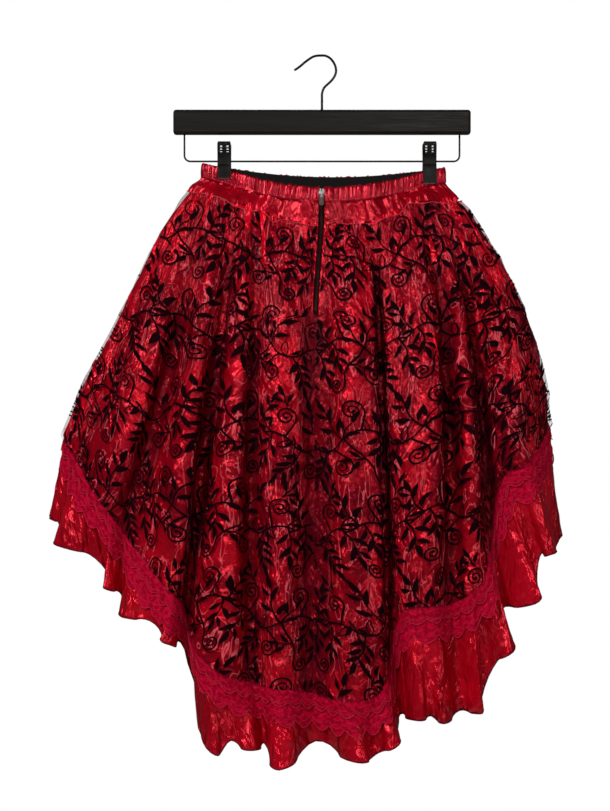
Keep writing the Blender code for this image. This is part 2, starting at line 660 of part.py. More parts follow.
def build_chain(skirt, levels, column, collection):
    foot = CHAIN_FOOT
    shape = bmesh.new()
    rings = []
    for level in levels:
        points = np.stack([skirt.at_level(level), skirt.at_level(level + LEVEL_STEP)])
        origin = points[0, column]
        down = unit(points[1, column] - origin)
        across = unit(np.array([1.0, 0.0, 0.0]) - down * down[0])
        out = unit(np.cross(down, across))
        out = -out if out[1] > 0 else out
        half = CHAIN_WIDTH / 2
        head = foot + CHAIN_THICKNESS
        corners = [(-half, foot), (half, foot), (half, head), (-half, head)]
        rings.append([shape.verts.new(origin + across * a + out * b) for a, b in corners])
    for upper, lower in zip(rings, rings[1:]):
        for k in range(4):
            shape.faces.new((upper[k], upper[(k + 1) % 4], lower[(k + 1) % 4], lower[k]))
    shape.faces.new(rings[0])
    shape.faces.new(rings[-1])
    object_from_bmesh("zip_teeth", shape, "dark_metal", collection)


def placed(shape, frame):
    """Turns a shape made across, down and out into the skirt's frame."""
    origin, across, down, out = frame
    for vert in shape.verts:
        a, d, o = vert.co
        vert.co = origin + across * a + down * d + out * o


def add_block(shape, low, high):
    made = bmesh.ops.create_cube(shape, size=1.0)
    for vert in made["verts"]:
        vert.co = [low[k] + (vert.co[k] + 0.5) * (high[k] - low[k]) for k in range(3)]


def build_stops(frame, collection):
    """The two top stops, one on each tape, just above the slider."""
    foot = CHAIN_FOOT
    for side, across in (("left", -1.6), ("right", 1.6)):
        shape = bmesh.new()
        add_block(shape, (across - 1.3, -7.6, foot), (across + 1.3, -5.2, foot + 2.0))
        placed(shape, frame)
        stop = object_from_bmesh(f"zip_stop_{side}", shape, "zip_metal", collection)
        bevel_edges(stop, 0.3, 1)


def slider_top():
    return CHAIN_FOOT + CHAIN_THICKNESS + SEAT_GAP + SLIDER_THICKNESS


def build_slider(frame, collection):
    """The slider's plate, with the bridge that the pull tab hangs on."""
    top = slider_top()
    half_length = SLIDER_LENGTH / 2
    shape = bmesh.new()
    half_head, half_foot = SLIDER_WIDTH / 2, SLIDER_WIDTH * 0.36
    outline = [(-half_head, -half_length), (half_head, -half_length), (half_head, 0.0),
               (half_foot, half_length), (-half_foot, half_length), (-half_head, 0.0)]
    extrude_outline(shape, [(a, d, top - SLIDER_THICKNESS) for a, d in outline], (0, 0, SLIDER_THICKNESS))
    placed(shape, frame)
    plate = object_from_bmesh("zip_slider", shape, "zip_metal", collection)
    bridge = bmesh.new()
    reach, eye = BRIDGE_LENGTH / 2, BRIDGE_EYE_LENGTH / 2
    side = [(-reach, -0.4), (-reach, 1.6), (-reach + 0.9, BRIDGE_HEIGHT), (reach - 0.9, BRIDGE_HEIGHT),
            (reach, 1.6), (reach, -0.4), (eye, -0.4), (eye, BRIDGE_EYE_HEIGHT), (-eye, BRIDGE_EYE_HEIGHT),
            (-eye, -0.4)]
    start = [(-BRIDGE_WIDTH / 2, d, top + o) for d, o in side]
    extrude_outline(bridge, start, (BRIDGE_WIDTH, 0, 0))
    placed(bridge, frame)
    cutters = bpy.data.collections["joining shapes"]
    arch = object_from_bmesh("slider_bridge_shape", bridge, "zip_metal", cutters)
    arch.hide_render = True
    arch.display_type = "WIRE"
    union = plate.modifiers.new("bridge", "BOOLEAN")
    union.operation = "UNION"
    union.object = arch


def extrude_outline(shape, points, step):
    face = shape.faces.new([shape.verts.new(point) for point in points])
    made = bmesh.ops.extrude_face_region(shape, geom=[face])
    moved = [item for item in made["geom"] if isinstance(item, bmesh.types.BMVert)]
    bmesh.ops.translate(shape, vec=step, verts=moved)
    bmesh.ops.recalc_face_normals(shape, faces=shape.faces)


def pull_axis(frame):
    """The point that the pull tab turns about, inside the bridge's eye."""
    origin, _, _, out = frame
    return origin + out * (slider_top() + BRIDGE_EYE_HEIGHT - 0.75)


def build_pull(frame, collection):
    """The pull tab: a plate with a window, whose top bar lies in the bridge's eye."""
    _, across, down, out = frame
    half, thick = PULL_WIDTH / 2, PULL_THICKNESS / 2
    shape = bmesh.new()
    outer = [(-half + 0.8, -0.5), (half - 0.8, -0.5), (half, 0.4), (half * 0.8, PULL_LENGTH * 0.55),
             (half, PULL_LENGTH - 2.0), (half * 0.55, PULL_LENGTH), (-half * 0.55, PULL_LENGTH),
             (-half, PULL_LENGTH - 2.0), (-half * 0.8, PULL_LENGTH * 0.55), (-half, 0.4)]
    extrude_outline(shape, [(a, d, -thick) for a, d in outer], (0, 0, PULL_THICKNESS))
    shape_frame = (pull_axis(frame), across, down, out)
    placed(shape, shape_frame)
    tab = object_from_bmesh("zip_pull", shape, "zip_metal", collection)
    window = bmesh.new()
    add_block(window, (-half + PULL_ARM, 0.5, -2.0), (half - PULL_ARM, PULL_EYE, 2.0))
    placed(window, shape_frame)
    cutters = bpy.data.collections["joining shapes"]
    eye = object_from_bmesh("pull_window_shape", window, "zip_metal", cutters)
    eye.hide_render = True
    eye.display_type = "WIRE"
    cut = tab.modifiers.new("window", "BOOLEAN")
    cut.operation = "DIFFERENCE"
    cut.object = eye


def main():
    clear_scene()
    collection = make_collection("high_low_skirt")
    make_collection("joining shapes")
    skirt = Skirt(columns_per_row=2)
    build_hanger(collection)
    build_clips(collection)
    build_panels(skirt, collection)
    build_waistband(skirt, collection)
    build_ruffle(skirt, collection)
    build_zip(skirt, collection)


main()
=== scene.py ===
"""Looks for the high-low skirt on its clip hanger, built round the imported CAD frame.

Tables are in millimetres in the CAD frame: the hook's crown is at the origin, +Z is up and the back of
the skirt, with the zip and the long hem, faces -Y. Cloth maps give millimetres across and down the
cloth, and a mesh keeps its own map in metres."""

import math

import bmesh
import bpy
import numpy as np
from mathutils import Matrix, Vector


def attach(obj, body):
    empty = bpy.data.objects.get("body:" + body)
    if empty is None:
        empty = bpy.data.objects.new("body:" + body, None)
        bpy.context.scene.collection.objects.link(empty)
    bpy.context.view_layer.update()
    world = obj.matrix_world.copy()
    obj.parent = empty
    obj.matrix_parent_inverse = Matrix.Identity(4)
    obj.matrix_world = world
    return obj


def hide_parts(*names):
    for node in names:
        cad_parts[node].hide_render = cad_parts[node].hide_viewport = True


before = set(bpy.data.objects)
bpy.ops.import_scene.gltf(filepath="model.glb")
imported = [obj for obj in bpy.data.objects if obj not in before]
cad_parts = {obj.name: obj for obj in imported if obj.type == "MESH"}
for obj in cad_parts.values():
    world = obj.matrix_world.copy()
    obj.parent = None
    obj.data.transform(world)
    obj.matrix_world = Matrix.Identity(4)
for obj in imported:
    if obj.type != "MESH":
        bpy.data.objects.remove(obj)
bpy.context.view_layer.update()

MM = 0.001

# Hanger, from the hook's crown down
WIRE_RADIUS = 1.25
HOOK_PLATING = 1.12
BAR_FOOT, BAR_TOP = -92.0, -63.0
ROD_RADIUS = 1.1
ROD_HALF_LENGTH, ROD_BEND = 162.0, 7.0
ROD_Z, ROD_BEND_TOP = -123.5, -104.0
SEAT_GAP = 0.3
HOOK_POINTS = [
    (0.0, -50.0), (0.2, -43.0), (2.4, -37.0), (6.0, -33.2), (9.9, -29.6), (13.6, -25.2), (16.0, -20.4),
    (16.6, -15.6), (15.4, -10.4), (12.6, -5.2), (8.6, -1.2), (3.9, 1.0), (0.0, 1.25), (-5.0, 1.1),
    (-9.6, 0.2), (-13.6, -2.0), (-17.4, -4.6), (-21.3, -7.6), (-25.0, -10.8), (-28.6, -13.6), (-32.6, -16.1),
]
CLIPS = [("left", -115.0, -144.0), ("right", 126.6, -150.0)]
CLIP_WIDTH, CLIP_TOP = 15.5, -101.0
CLIP_SPRING_RADIUS, CLIP_GRIP = 3.1, 5.3
PLATE_THICKNESS, PLATE_HALF = 1.7, 1.1
COIL_TURNS, COIL_RADIUS, COIL_WIRE = 8, 2.35, 0.6

# Cloth layers' heights over the skirt's form
SATIN_LIFT, SATIN_SIDE_SHARE = 0.5, 1.5
OVERLAY_TOP_LIFT, OVERLAY_HEM_LIFT, OVERLAY_SIDE_LIFT = 1.9, 3.4, 2.6
# Share of the way down, and of the lift that the cloth has there
OVERLAY_RISE = [(0, 0), (0.1, 0.3), (0.25, 0.5), (0.45, 0.8), (0.7, 1), (1, 1)]
SIDE_ARCH = [(0, 0), (0.1, 0.5), (0.25, 0.9), (0.45, 1), (0.7, 0.6), (0.97, 0.1), (1, 0)]
SIDE_FOLDS = 2.2
FACING_LIFT = -0.45
WAIST_SHARE = 0.905
BAND_HEIGHT, BAND_TOP_Z, BAND_TILT = 18.0, -128.5, 2.5
BAND_SAG_BACK, BAND_SAG_FRONT, SAG_POWER = 28.0, 12.0, 1.3
BAND_FLARE, SIDE_PINCH = 1.015, 12.0
MID_Z = -312.0
# How far the near (back) and the far (front) half stand from the hanger's plane at each level
MOUTH_HALF_WIDTH = 105.0
MOUTH_BACK, MOUTH_FRONT = 16.0, 8.0
WAIST_SIDE_DEPTH = 2.4
SEAM_BACK, SEAM_FRONT = 20.0, 11.0
MID_BACK, MID_FRONT, MID_POWER = 60.0, 20.0, 0.55
HEM_BACK, HEM_FRONT, HEM_POWER = 88.0, 27.0, 0.5
RUFFLE_TUCK = 6.0

# Zip down the centre back
ZIP_HALF_SLIT = 3.5
TAPE_SHARE, TAPE_LIFT = 0.55, -1.9
CHAIN_LIFT, TOOTH_PITCH = 0.7, 1.5
ZIP_TOP_LEVEL, ZIP_END_LEVEL, ZIP_ROWS = 0.1, 2.95, 40

# Fold lines of the skirt, from the left side round. Lift is how far a fold stands out of the plain form.
# seam x, seam z, mid x, mid lift, hem x, hem lift, hem z
BACK_FOLDS = [
    (-154, -157, -227, 0, -303, 0, -448),
    (-149, -160, -209, -2, -281, -4, -481),
    (-142, -162, -188, 5, -251, 9, -526),
    (-134, -164, -160, -6, -222, -10, -566),
    (-117, -168, -137, 6, -173, 12, -621),
    (-99, -173, -115, -7, -157, -15, -648),
    (-91, -174, -104, 2, -141, 3, -689),
    (-84, -175, -91, 5, -109, 12, -715),
    (-70, -181, -74, -4, -81, -9, -725),
    (-41, -194, -43, 4, -45, 10, -730),
    (-1, -198, -8, -5, -10, -9, -736),
    (25, -197, 27, 6, 27, 12, -743),
    (46, -197, 54, 1, 63, 3, -734),
    (58, -192, 66, -11, 76, -21, -693),
    (69, -190, 80, -1, 91, 1, -646),
    (91, -180, 116, 6, 118, 12, -638),
    (107, -171, 136, -4, 145, -6, -637),
    (119, -170, 153, 5, 167, 10, -625),
    (125, -169, 161, 3, 181, 8, -607),
    (130, -169, 171, -6, 194, -14, -552),
    (136, -169, 183, -2, 209, -4, -493),
    (146, -167, 199, 4, 235, 8, -479),
]
FRONT_FOLDS = [
    (158, -166, 230, 0, 266, 0, -434),
    (144, -167, 204, 1, 240, 2, -434),
    (124, -168, 168, -3, 198, -5, -431),
    (76, -170, 104, 3, 124, 5, -427),
    (26, -172, 34, -3, 40, -6, -424),
    (-28, -172, -36, 3, -46, 6, -424),
    (-78, -170, -108, -3, -140, -5, -430),
    (-126, -164, -174, 3, -226, 5, -438),
    (-148, -160, -213, 1, -284, 2, -446),
]
BACK_COUNT = len(BACK_FOLDS)
RING = BACK_COUNT + len(FRONT_FOLDS)
CENTRE_BACK = 10.0

# Waves of the ruffle's edge along the back: a crest, then the hollow that follows it.
# crest fold, crest x, crest z, hollow fold, hollow x, hollow z
BACK_WAVES = [
    (0.0, -318, -545, 0.55, -304, -555), (1.0, -306, -573, 2.1, -247, -601),
    (2.4, -247, -620, 2.8, -230, -632), (3.2, -230, -651, 3.95, -190, -658),
    (4.3, -176, -678, 5.1, -153, -706), (6.4, -126, -798, 7.0, -104, -787),
    (7.7, -80, -798, 8.2, -64, -795), (8.9, -49, -816, 10.0, -8, -791),
    (11.0, 38, -807, 11.6, 58, -803), (12.2, 81, -794, 13.0, 87, -767),
    (14.2, 106, -763, 14.8, 122, -760), (15.4, 138, -767, 16.1, 156, -759),
    (16.9, 178, -757, 17.5, 184, -730), (18.2, 217, -686, 19.0, 204, -651),
    (19.7, 243, -637, 20.3, 248, -592), (21.0, 262, -581, 21.5, 272, -576),
    (22.0, 283, -562, 22.4, 270, -548),
]
FRONT_WAVES, FRONT_WAVE_RISE, FRONT_WAVE_DROP = 9, 6.0, 101.0
WAVE_DEPTH, WAVE_SPREAD, WAVE_REACH = 10.0, 1.06, 1.08
# Steps of level and of ruffle height over which a slope is read
LEVEL_STEP, RUFFLE_STEP = 0.01, 0.02

# Soft creases that the satin and the overlay share.
# top x, top z, foot x, foot z, half width, height
BACK_CREASES = [
    (-146, -163, -186, -262, 5.0, 1.8), (-139, -164, -168, -240, 4.0, -1.6),
    (-128, -166, -158, -330, 6.0, 2.2), (-121, -168, -143, -255, 3.5, -1.8),
    (-111, -170, -128, -300, 5.0, 1.7), (-104, -172, -117, -246, 3.6, -1.5),
    (-95, -174, -106, -290, 4.6, 2.0), (-78, -178, -84, -262, 3.6, -1.9),
    (-66, -183, -70, -300, 4.4, 1.6), (-58, -187, -62, -252, 3.2, -1.7),
    (-49, -191, -50, -330, 5.2, 1.5), (-33, -195, -31, -268, 3.6, -1.6),
    (-21, -197, -19, -310, 4.2, 1.4), (12, -197, 13, -290, 3.6, 1.5),
    (19, -197, 21, -254, 3.0, -1.8), (33, -197, 38, -320, 4.8, 1.8),
    (41, -197, 47, -262, 3.4, -1.6), (52, -195, 60, -290, 3.6, 1.3),
    (66, -191, 76, -256, 3.2, 1.4), (80, -185, 96, -310, 4.8, -2.1),
    (86, -182, 104, -268, 3.6, 1.9), (99, -175, 124, -300, 4.6, 1.9),
    (112, -170, 138, -252, 3.6, -1.6), (127, -169, 158, -262, 4.2, 1.5),
    (141, -168, 181, -248, 4.4, -1.4), (149, -168, 205, -268, 4.6, 1.8),
    (-196, -290, -236, -420, 7.0, 3.0), (-206, -330, -262, -452, 5.0, -2.0),
    (-166, -300, -204, -500, 7.0, -2.6), (-176, -380, -214, -540, 5.5, 2.4),
    (-148, -340, -184, -560, 7.5, 2.6), (-126, -330, -158, -590, 6.0, -2.4),
    (-100, -330, -122, -640, 6.5, 2.2), (-84, -380, -96, -690, 5.5, -2.4),
    (-64, -330, -66, -640, 6.5, 2.4), (-52, -420, -54, -700, 5.0, -2.0),
    (-28, -340, -30, -650, 7.0, 2.0), (-2, -400, -8, -700, 5.0, 1.8),
    (12, -330, 10, -560, 6.0, -2.0), (22, -380, 20, -700, 5.5, 2.2),
    (44, -330, 48, -640, 6.0, -2.0), (56, -420, 60, -700, 5.0, 2.0),
    (94, -330, 98, -600, 6.5, 2.4), (104, -380, 108, -610, 4.5, -2.0),
    (124, -320, 132, -600, 5.5, 2.4), (142, -330, 154, -590, 5.0, -2.2),
    (160, -380, 176, -560, 5.0, 2.2), (186, -330, 208, -450, 5.5, -2.0),
    (204, -300, 240, -436, 6.0, 2.4), (218, -340, 252, -430, 4.6, -1.8),
]
FRONT_CREASES = [
    (-142, -162, -180, -250, 5.0, 1.8), (-128, -165, -160, -270, 4.4, -1.6),
    (-108, -168, -130, -300, 5.4, 1.8), (-92, -169, -112, -250, 4.0, -1.6),
    (-66, -171, -78, -320, 5.6, 1.8), (-44, -172, -52, -262, 4.0, -1.7),
    (-12, -172, -14, -310, 5.4, 1.7), (8, -172, 10, -256, 4.0, -1.6),
    (36, -172, 44, -320, 5.4, 1.8), (60, -171, 74, -262, 4.2, -1.6),
    (88, -170, 110, -310, 5.2, 1.8), (106, -169, 132, -256, 4.0, -1.6),
    (134, -168, 176, -290, 5.2, 1.8), (-200, -300, -262, -430, 6.5, 2.4),
    (-160, -300, -196, -430, 6.0, -2.2), (-96, -300, -118, -420, 6.5, 2.4),
    (-30, -300, -36, -420, 6.0, -2.2), (20, -300, 24, -420, 6.5, 2.2),
    (90, -300, 104, -420, 6.0, -2.2), (150, -300, 176, -425, 6.5, 2.4),
    (200, -300, 232, -428, 6.0, -2.0),
]
# Small creases of a layer: cell across, cell down, height, seed
SATIN_CRUSH = [(15.0, 60.0, 2.6, 3), (7.0, 22.0, 1.0, 9), (26.0, 34.0, 2.6, 17)]
YOKE_CRUSH = [(5.0, 70.0, 1.7, 3), (11.0, 90.0, 1.6, 9), (26.0, 34.0, 1.4, 17)]
ORGANZA_CRUSH = [(15.0, 60.0, 2.6, 3), (8.0, 40.0, 0.8, 29), (26.0, 34.0, 2.6, 17)]

# The flocked vine: one repeat, in millimetres, x along the cloth and y down it.
REPEAT_WIDTH, REPEAT_HEIGHT = 116.0, 104.0
FLOCK_LIFT = 0.35
STEM_WIDTH = 2.1
VINE_STEMS = [
    [(-6, 55), (0, 52), (14, 44), (30, 44), (46, 54), (60, 64), (76, 64), (90, 54), (104, 50), (116, 52),
     (122, 48)],
    [(46, 54), (40, 64), (30, 74), (24, 84)],
]
# stem end x, y, centre x, y, radius, turns, hand
VINE_SPIRALS = [
    (28, 44, 33, 22, 13.0, 2.0, 1), (60, 64, 54, 85, 12.5, 2.0, -1),
    (92, 53, 95, 30, 12.0, 1.9, 1), (24, 84, 13, 96, 10.0, 1.8, 1),
]
# foot x, y, heading in degrees (0 right, 90 up), length, pairs of leaves, leaf size
VINE_SPRAYS = [
    (47, 55, 62, 40, 2, 1.05), (47, 55, 122, 22, 1, 0.9), (72, 64, -60, 36, 3, 0.95),
    (12, 45, -78, 24, 2, 0.95), (8, 47, 112, 30, 2, 0.95), (106, 50, -74, 32, 2, 1.0),
    (106, 50, 44, 18, 1, 0.9), (84, 50, -102, 18, 1, 0.85), (30, 75, -8, 12, 1, 0.8),
    (95, 18, 60, 12, 1, 0.8),
]
# x, y, heading, length, width of the leaves that are only outlined
OPEN_LEAVES = [(66, 65, 96, 17, 6.5), (20, 43, 78, 13, 5.5), (86, 57, -34, 15, 6.0)]
LEAF_LENGTH, LEAF_WIDTH, LEAF_STALK = 18.5, 5.6, 2.0
LEAF_BOW, SPRAY_BOW = 0.06, 0.1

# Columns between one crest or hollow of the ruffle and the next, and rows of the cloth pieces
FINE, FINE_LACE = 10, 22
CASING_ROWS, RUFFLE_ROWS, LACE_ROWS = 16, 30, 12
CLOTH_ROW, YOKE_ROW, CASING_STEP = 4.2, 2.4, 0.5

# Relief and edges of the cloth. The fold gain deepens the folds, and fades out above the hem.
FOLD_GAIN, FOLD_FADE, FOLD_REACH, MOST_FOLD = 0.8, 0.4, 3.2, 9.0
VALLEY_DEPTH = 5.0
RUFFLE_TUCKING, RUFFLE_THICKNESS, HEM_RADIUS = 0.9, 0.7, 0.75
EDGE_WAVER, EDGE_THREAD = 10.0, 0.55
YOKE_TUCK, YOKE_FOOT, SEAM_GAP = 1.8, 2.02, 0.3
CASING_THICKNESS, TAPE_THICKNESS = 0.9, 0.8
FACING_INSET = 2 * FINE
STITCH_LINE, STITCH_PITCH = 15.4, 2.5
LACE_TOP, MOST_LACE_SHARE, PICOT = 2.6, 0.85, 3.6


# Shapes in numbers

def unit(vectors):
    return vectors / np.maximum(np.linalg.norm(vectors, axis=-1, keepdims=True), 1e-9)


def travel(line):
    """Distance along a line to each of its points."""
    return np.append(0.0, np.cumsum(np.linalg.norm(np.diff(line, axis=0), axis=1)))


def steps(start, end, count):
    """Values, or rings of them, that run evenly from start to end."""
    return [start + (end - start) * k / (count - 1) for k in range(count)]


def ring_step(points):
    """From the point before to the point after each point of a ring."""
    return np.roll(points, -1, axis=-2) - np.roll(points, 1, axis=-2)


def smooth_step(a, b, c, d, f):
    """The share f of the way from b to c on a smooth line through a, b, c and d."""
    return b + 0.5 * f * (c - a + f * (2 * a - 5 * b + 4 * c - d + f * (3 * (b - c) + d - a)))


def closed_spline(rows, at):
    """A smooth line through the rows of a closed table, read at each place in at."""
    at = np.asarray(at, float)
    base = np.floor(at).astype(int)
    return smooth_step(*(rows[(base + step) % len(rows)] for step in (-1, 0, 1, 2)), (at - base)[:, None])


def open_spline(points, step):
    """Points about every step along a smooth line through the given ones."""
    points = np.array(points, float)
    ends = np.vstack([2 * points[0] - points[1], points, 2 * points[-1] - points[-2]])
    out = []
    for k in range(1, len(ends) - 2):
        count = max(2, int(np.ceil(np.linalg.norm(ends[k + 1] - ends[k]) / step)))
        out.append(smooth_step(*ends[k - 1:k + 3], np.arange(count)[:, None] / count))
    return np.vstack([*out, points[-1:]])


def noise(u, v, cell_u, cell_v, seed):
    """Smooth noise from 0 to 1 over two coordinates, with cells of the given size."""
    table = np.random.default_rng(seed).random((64, 64))
    a, b = np.asarray(u, float) / cell_u, np.asarray(v, float) / cell_v
    i, j = np.floor(a).astype(int), np.floor(b).astype(int)
    f, g = a - i, b - j
    f, g = f * f * (3 - 2 * f), g * g * (3 - 2 * g)
    i, j, k, m = i % 64, j % 64, (i + 1) % 64, (j + 1) % 64
    near, far = (table[i, column] * (1 - f) + table[k, column] * f for column in (j, m))
    return near * (1 - g) + far * g


def crinkle(u, v, cell_u, cell_v, seed):
    """Creased noise from 0 to 1 with sharp ridges, as in crushed satin."""
    bend = 8.0 * (noise(u, v, 3 * cell_u, cell_v, seed + 1) - 0.5)
    return 1.0 - np.abs(2.0 * noise(u + bend, v, cell_u, cell_v, seed) - 1.0)


def side_ratio(x, left, right):
    """How far x is from the middle to the side: 0 in the middle and 1 at either side."""
    return min(1.0, x / left if x < 0 else x / right)


def side_curve(x, left, right, power):
    """1 in the middle, falling to 0 at either side."""
    return max(0.0, 1.0 - side_ratio(x, left, right) ** 2) ** power


def fold_levels():
    """The skirt's five levels at each fold line: band top, band foot, seam, mid and hem."""
    left, right = BACK_FOLDS[0], FRONT_FOLDS[0]
    rows = []
    for place, fold in enumerate(BACK_FOLDS + FRONT_FOLDS):
        seam_x, seam_z, mid_x, mid_lift, hem_x, hem_lift, hem_z = fold
        back = place < BACK_COUNT
        face = -1.0 if back else 1.0
        waist_x = WAIST_SHARE * seam_x
        s = side_ratio(seam_x, left[0], right[0])
        open_share = 1.0 - s * s
        sag = BAND_SAG_BACK * open_share**SAG_POWER if back else BAND_SAG_FRONT * open_share
        top_z = BAND_TOP_Z - sag - BAND_TILT * (s if waist_x > 0 else -s)
        mouth = max(0.0, 1.0 - (waist_x / MOUTH_HALF_WIDTH) ** 2)
        from_side = min(1.0, SIDE_PINCH * (1.0 - s))
        waist_y = face * (WAIST_SIDE_DEPTH * from_side + (MOUTH_BACK if back else MOUTH_FRONT) * mouth)
        mid_depth = (MID_BACK if back else MID_FRONT) * side_curve(mid_x, left[2], right[2], MID_POWER)
        hem_depth = (HEM_BACK if back else HEM_FRONT) * side_curve(hem_x, left[4], right[4], HEM_POWER)
        rows.append([
            (waist_x, waist_y, top_z),
            (waist_x * BAND_FLARE, waist_y + face * (0.3 + 2.0 * mouth) * from_side, top_z - BAND_HEIGHT),
            (seam_x, face * (SEAM_BACK if back else SEAM_FRONT) * math.sqrt(open_share), seam_z),
            (mid_x, face * (mid_depth + mid_lift), MID_Z),
            (hem_x, face * (hem_depth + hem_lift), hem_z),
        ])
    return np.array(rows, float)


def wave_rows(folds):
    """The ruffle's edge, crest and hollow by turns: fold number, x, y and z of each."""
    marks = [mark for wave in BACK_WAVES for mark in (wave[:3], wave[3:])]
    first, last = BACK_WAVES[-1][3] + 0.4, RING - 0.4
    for number in range(2 * FRONT_WAVES):
        fold = first + (last - first) * number / (2 * FRONT_WAVES - 1)
        edge = closed_spline(folds[:, 4], [fold])[0]
        rise = FRONT_WAVE_RISE if number % 2 else 0.0
        marks.append((fold, edge[0] * WAVE_SPREAD, edge[2] - FRONT_WAVE_DROP + rise))
    rows = []
    for number, (fold, x, z) in enumerate(marks):
        edge = closed_spline(folds[:, 4], [fold])[0]
        face = -1.0 if fold <= BACK_COUNT else 1.0
        from_side = min(abs(fold - side) for side in (0.0, BACK_COUNT, RING))
        depth = WAVE_DEPTH * min(1.0, from_side / 1.5)
        rows.append((fold, x, edge[1] * WAVE_REACH + face * (-depth if number % 2 else depth), z))
    return np.array(rows, float)


def rounded_waves(places):
    """Places along the crests and hollows, held back near each crest so that its foot is round."""
    row = np.floor(places)
    f = places - row
    return row + np.where(row % 2 == 0, f * f, 1.0 - (1.0 - f) ** 2)


def columns_of(grid, start, end):
    """The columns from start to end of a ring grid, the last one included."""
    return grid[:, np.arange(start, end + 1) % grid.shape[1]]


class Skirt:
    """The skirt's form, as columns of points that every layer shares. Points are in millimetres."""

    def __init__(self, columns_per_row):
        self.fine = columns_per_row
        folds = fold_levels()
        waves = wave_rows(folds)
        places = np.arange(len(waves) * columns_per_row) / columns_per_row
        numbers = np.append(waves[:, 0], waves[0, 0] + RING)
        self.fold_numbers = np.interp(places, np.arange(len(numbers)), numbers)
        self.levels = np.stack([closed_spline(folds[:, k], self.fold_numbers) for k in range(5)])
        self.knots = np.zeros(self.levels.shape[:2])
        self.knots[1:] = np.cumsum(np.linalg.norm(np.diff(self.levels, axis=0), axis=2), axis=0)
        self.edge = closed_spline(waves[:, 1:], places)
        self.edge[:, 2] = closed_spline(waves[:, 3:], rounded_waves(places))[:, 0]
        self.count = len(places)

    def eased(self, normals):
        """Normals shared with the columns to either side, so that layers part evenly in folds."""
        reach = self.fine // 2
        shares = [(k, reach + 1 - abs(k)) for k in range(-reach, reach + 1)]
        return unit(sum(share * np.roll(normals, k, axis=-2) for k, share in shares))

    def column(self, fold_number):
        return int(np.argmin(abs(self.fold_numbers - fold_number)))

    def at_level(self, level):
        """A ring of points at a level, 0 at the band's top to 4 at the hem."""
        level = np.broadcast_to(np.asarray(level, float), self.count)
        base = np.clip(np.floor(level).astype(int), 0, 3)
        f = (level - base)[:, None]
        rows = np.maximum(base - 1, 0), base, base + 1, np.minimum(base + 2, 4)
        here = np.arange(self.count)
        p0, p1, p2, p3 = (self.levels[k, here] for k in rows)
        k0, k1, k2, k3 = (self.knots[k, here][:, None] for k in rows)
        m1, m2 = (p2 - p0) / (k2 - k0) * (k2 - k1), (p3 - p1) / (k3 - k1) * (k2 - k1)
        return ((2 * f**3 - 3 * f**2 + 1) * p1 + (f**3 - 2 * f**2 + f) * m1
                + (3 * f**2 - 2 * f**3) * p2 + (f**3 - f**2) * m2)

    def level_below(self, level, millimetres):
        """The level that lies so many millimetres below a whole level, or above it if negative."""
        base = level - 1 if np.min(millimetres) < 0 else level
        return level + millimetres / (self.knots[base + 1] - self.knots[base])

    def grid(self, levels):
        """Points and outward normals for a list of levels."""
        points, below, above = (
            np.stack([self.at_level(np.clip(level + step, 0.0, 4.0)) for level in levels])
            for step in (0.0, LEVEL_STEP, -LEVEL_STEP))
        return points, self.eased(unit(np.cross(below - above, ring_step(points))))

    def ruffle_top(self):
        points, normals = self.grid([self.level_below(4, -RUFFLE_TUCK)])
        return points[0], normals[0]

    def ruffle_share(self, drop):
        """How far down the ruffle a drop in millimetres is, from 0 at its top to 1 at its edge."""
        length = np.linalg.norm(self.edge - self.ruffle_top()[0], axis=1)
        return np.minimum(drop / length, MOST_LACE_SHARE)

    def ruffle_ring(self, share):
        top = self.ruffle_top()[0]
        return top + (self.edge - top) * share[:, None]

    def ruffle_grid(self, shares):
        """Points and normals of the ruffle at each share of its height."""
        top_normals = self.ruffle_top()[1]
        points, normals = [], []
        for share in shares:
            here, lower = self.ruffle_ring(share), self.ruffle_ring(share + RUFFLE_STEP)
            down = lower - self.ruffle_ring(np.maximum(share, RUFFLE_STEP) - RUFFLE_STEP)
            own = self.eased(unit(np.cross(down, ring_step(here))))
            blend = np.clip(share / 0.6, 0.0, 1.0)[:, None] ** 1.5
            points.append(here)
            normals.append(unit(top_normals * (1 - blend) + own * blend))
        return np.stack(points), np.stack(normals)

    def panels(self, *grids):
        """Each panel's name, and its columns of every ring grid."""
        centre, side = self.column(CENTRE_BACK), self.column(BACK_COUNT)
        spans = {"back_left": (0, centre), "back_right": (centre, side), "front": (side, self.count)}
        for panel, span in spans.items():
            yield panel, *(columns_of(grid, *span) for grid in grids)

    def lengths(self, *grids):
        """The ruffle's and the lace's back and front length, with the columns of every ring grid."""
        side = self.column(BACK_COUNT)
        for length, span in (("back", (0, side)), ("front", (side, self.count))):
            yield length, *(columns_of(grid, *span) for grid in grids)


def cloth_map(points, middle=0):
    """Distances along the cloth: across from the middle column, and down from the top row."""
    across = np.cumsum(np.linalg.norm(np.diff(points, axis=1), axis=2), axis=1)
    down = np.cumsum(np.linalg.norm(np.diff(points, axis=0), axis=2), axis=0)
    across = np.pad(across, ((0, 0), (1, 0)))
    return across - across[:, middle:middle + 1], np.pad(down, ((1, 0), (0, 0)))


def straight_across(across):
    """The cloth map with each column at one distance across, so that creases run down the columns."""
    return np.broadcast_to(across[len(across) // 2], across.shape)


def crease_heights(points, table):
    """Height of the listed creases at each point of a grid."""
    total = np.zeros(points.shape[:2])
    x, z = points[..., 0], points[..., 2]
    for x0, z0, x1, z1, half, height in table:
        along = np.array([x1 - x0, z1 - z0], float)
        length = np.linalg.norm(along)
        along /= length
        t = ((x - x0) * along[0] + (z - z0) * along[1]) / length
        off = (x - x0) * along[1] - (z - z0) * along[0]
        fade = np.clip(t / 0.12 + 0.35, 0, 1) * np.clip((1.12 - t) / 0.4, 0, 1)
        total += height * fade**2 * np.exp(-((off / (half * (1 + 0.6 * np.clip(t, 0, 1)))) ** 2))
    return total


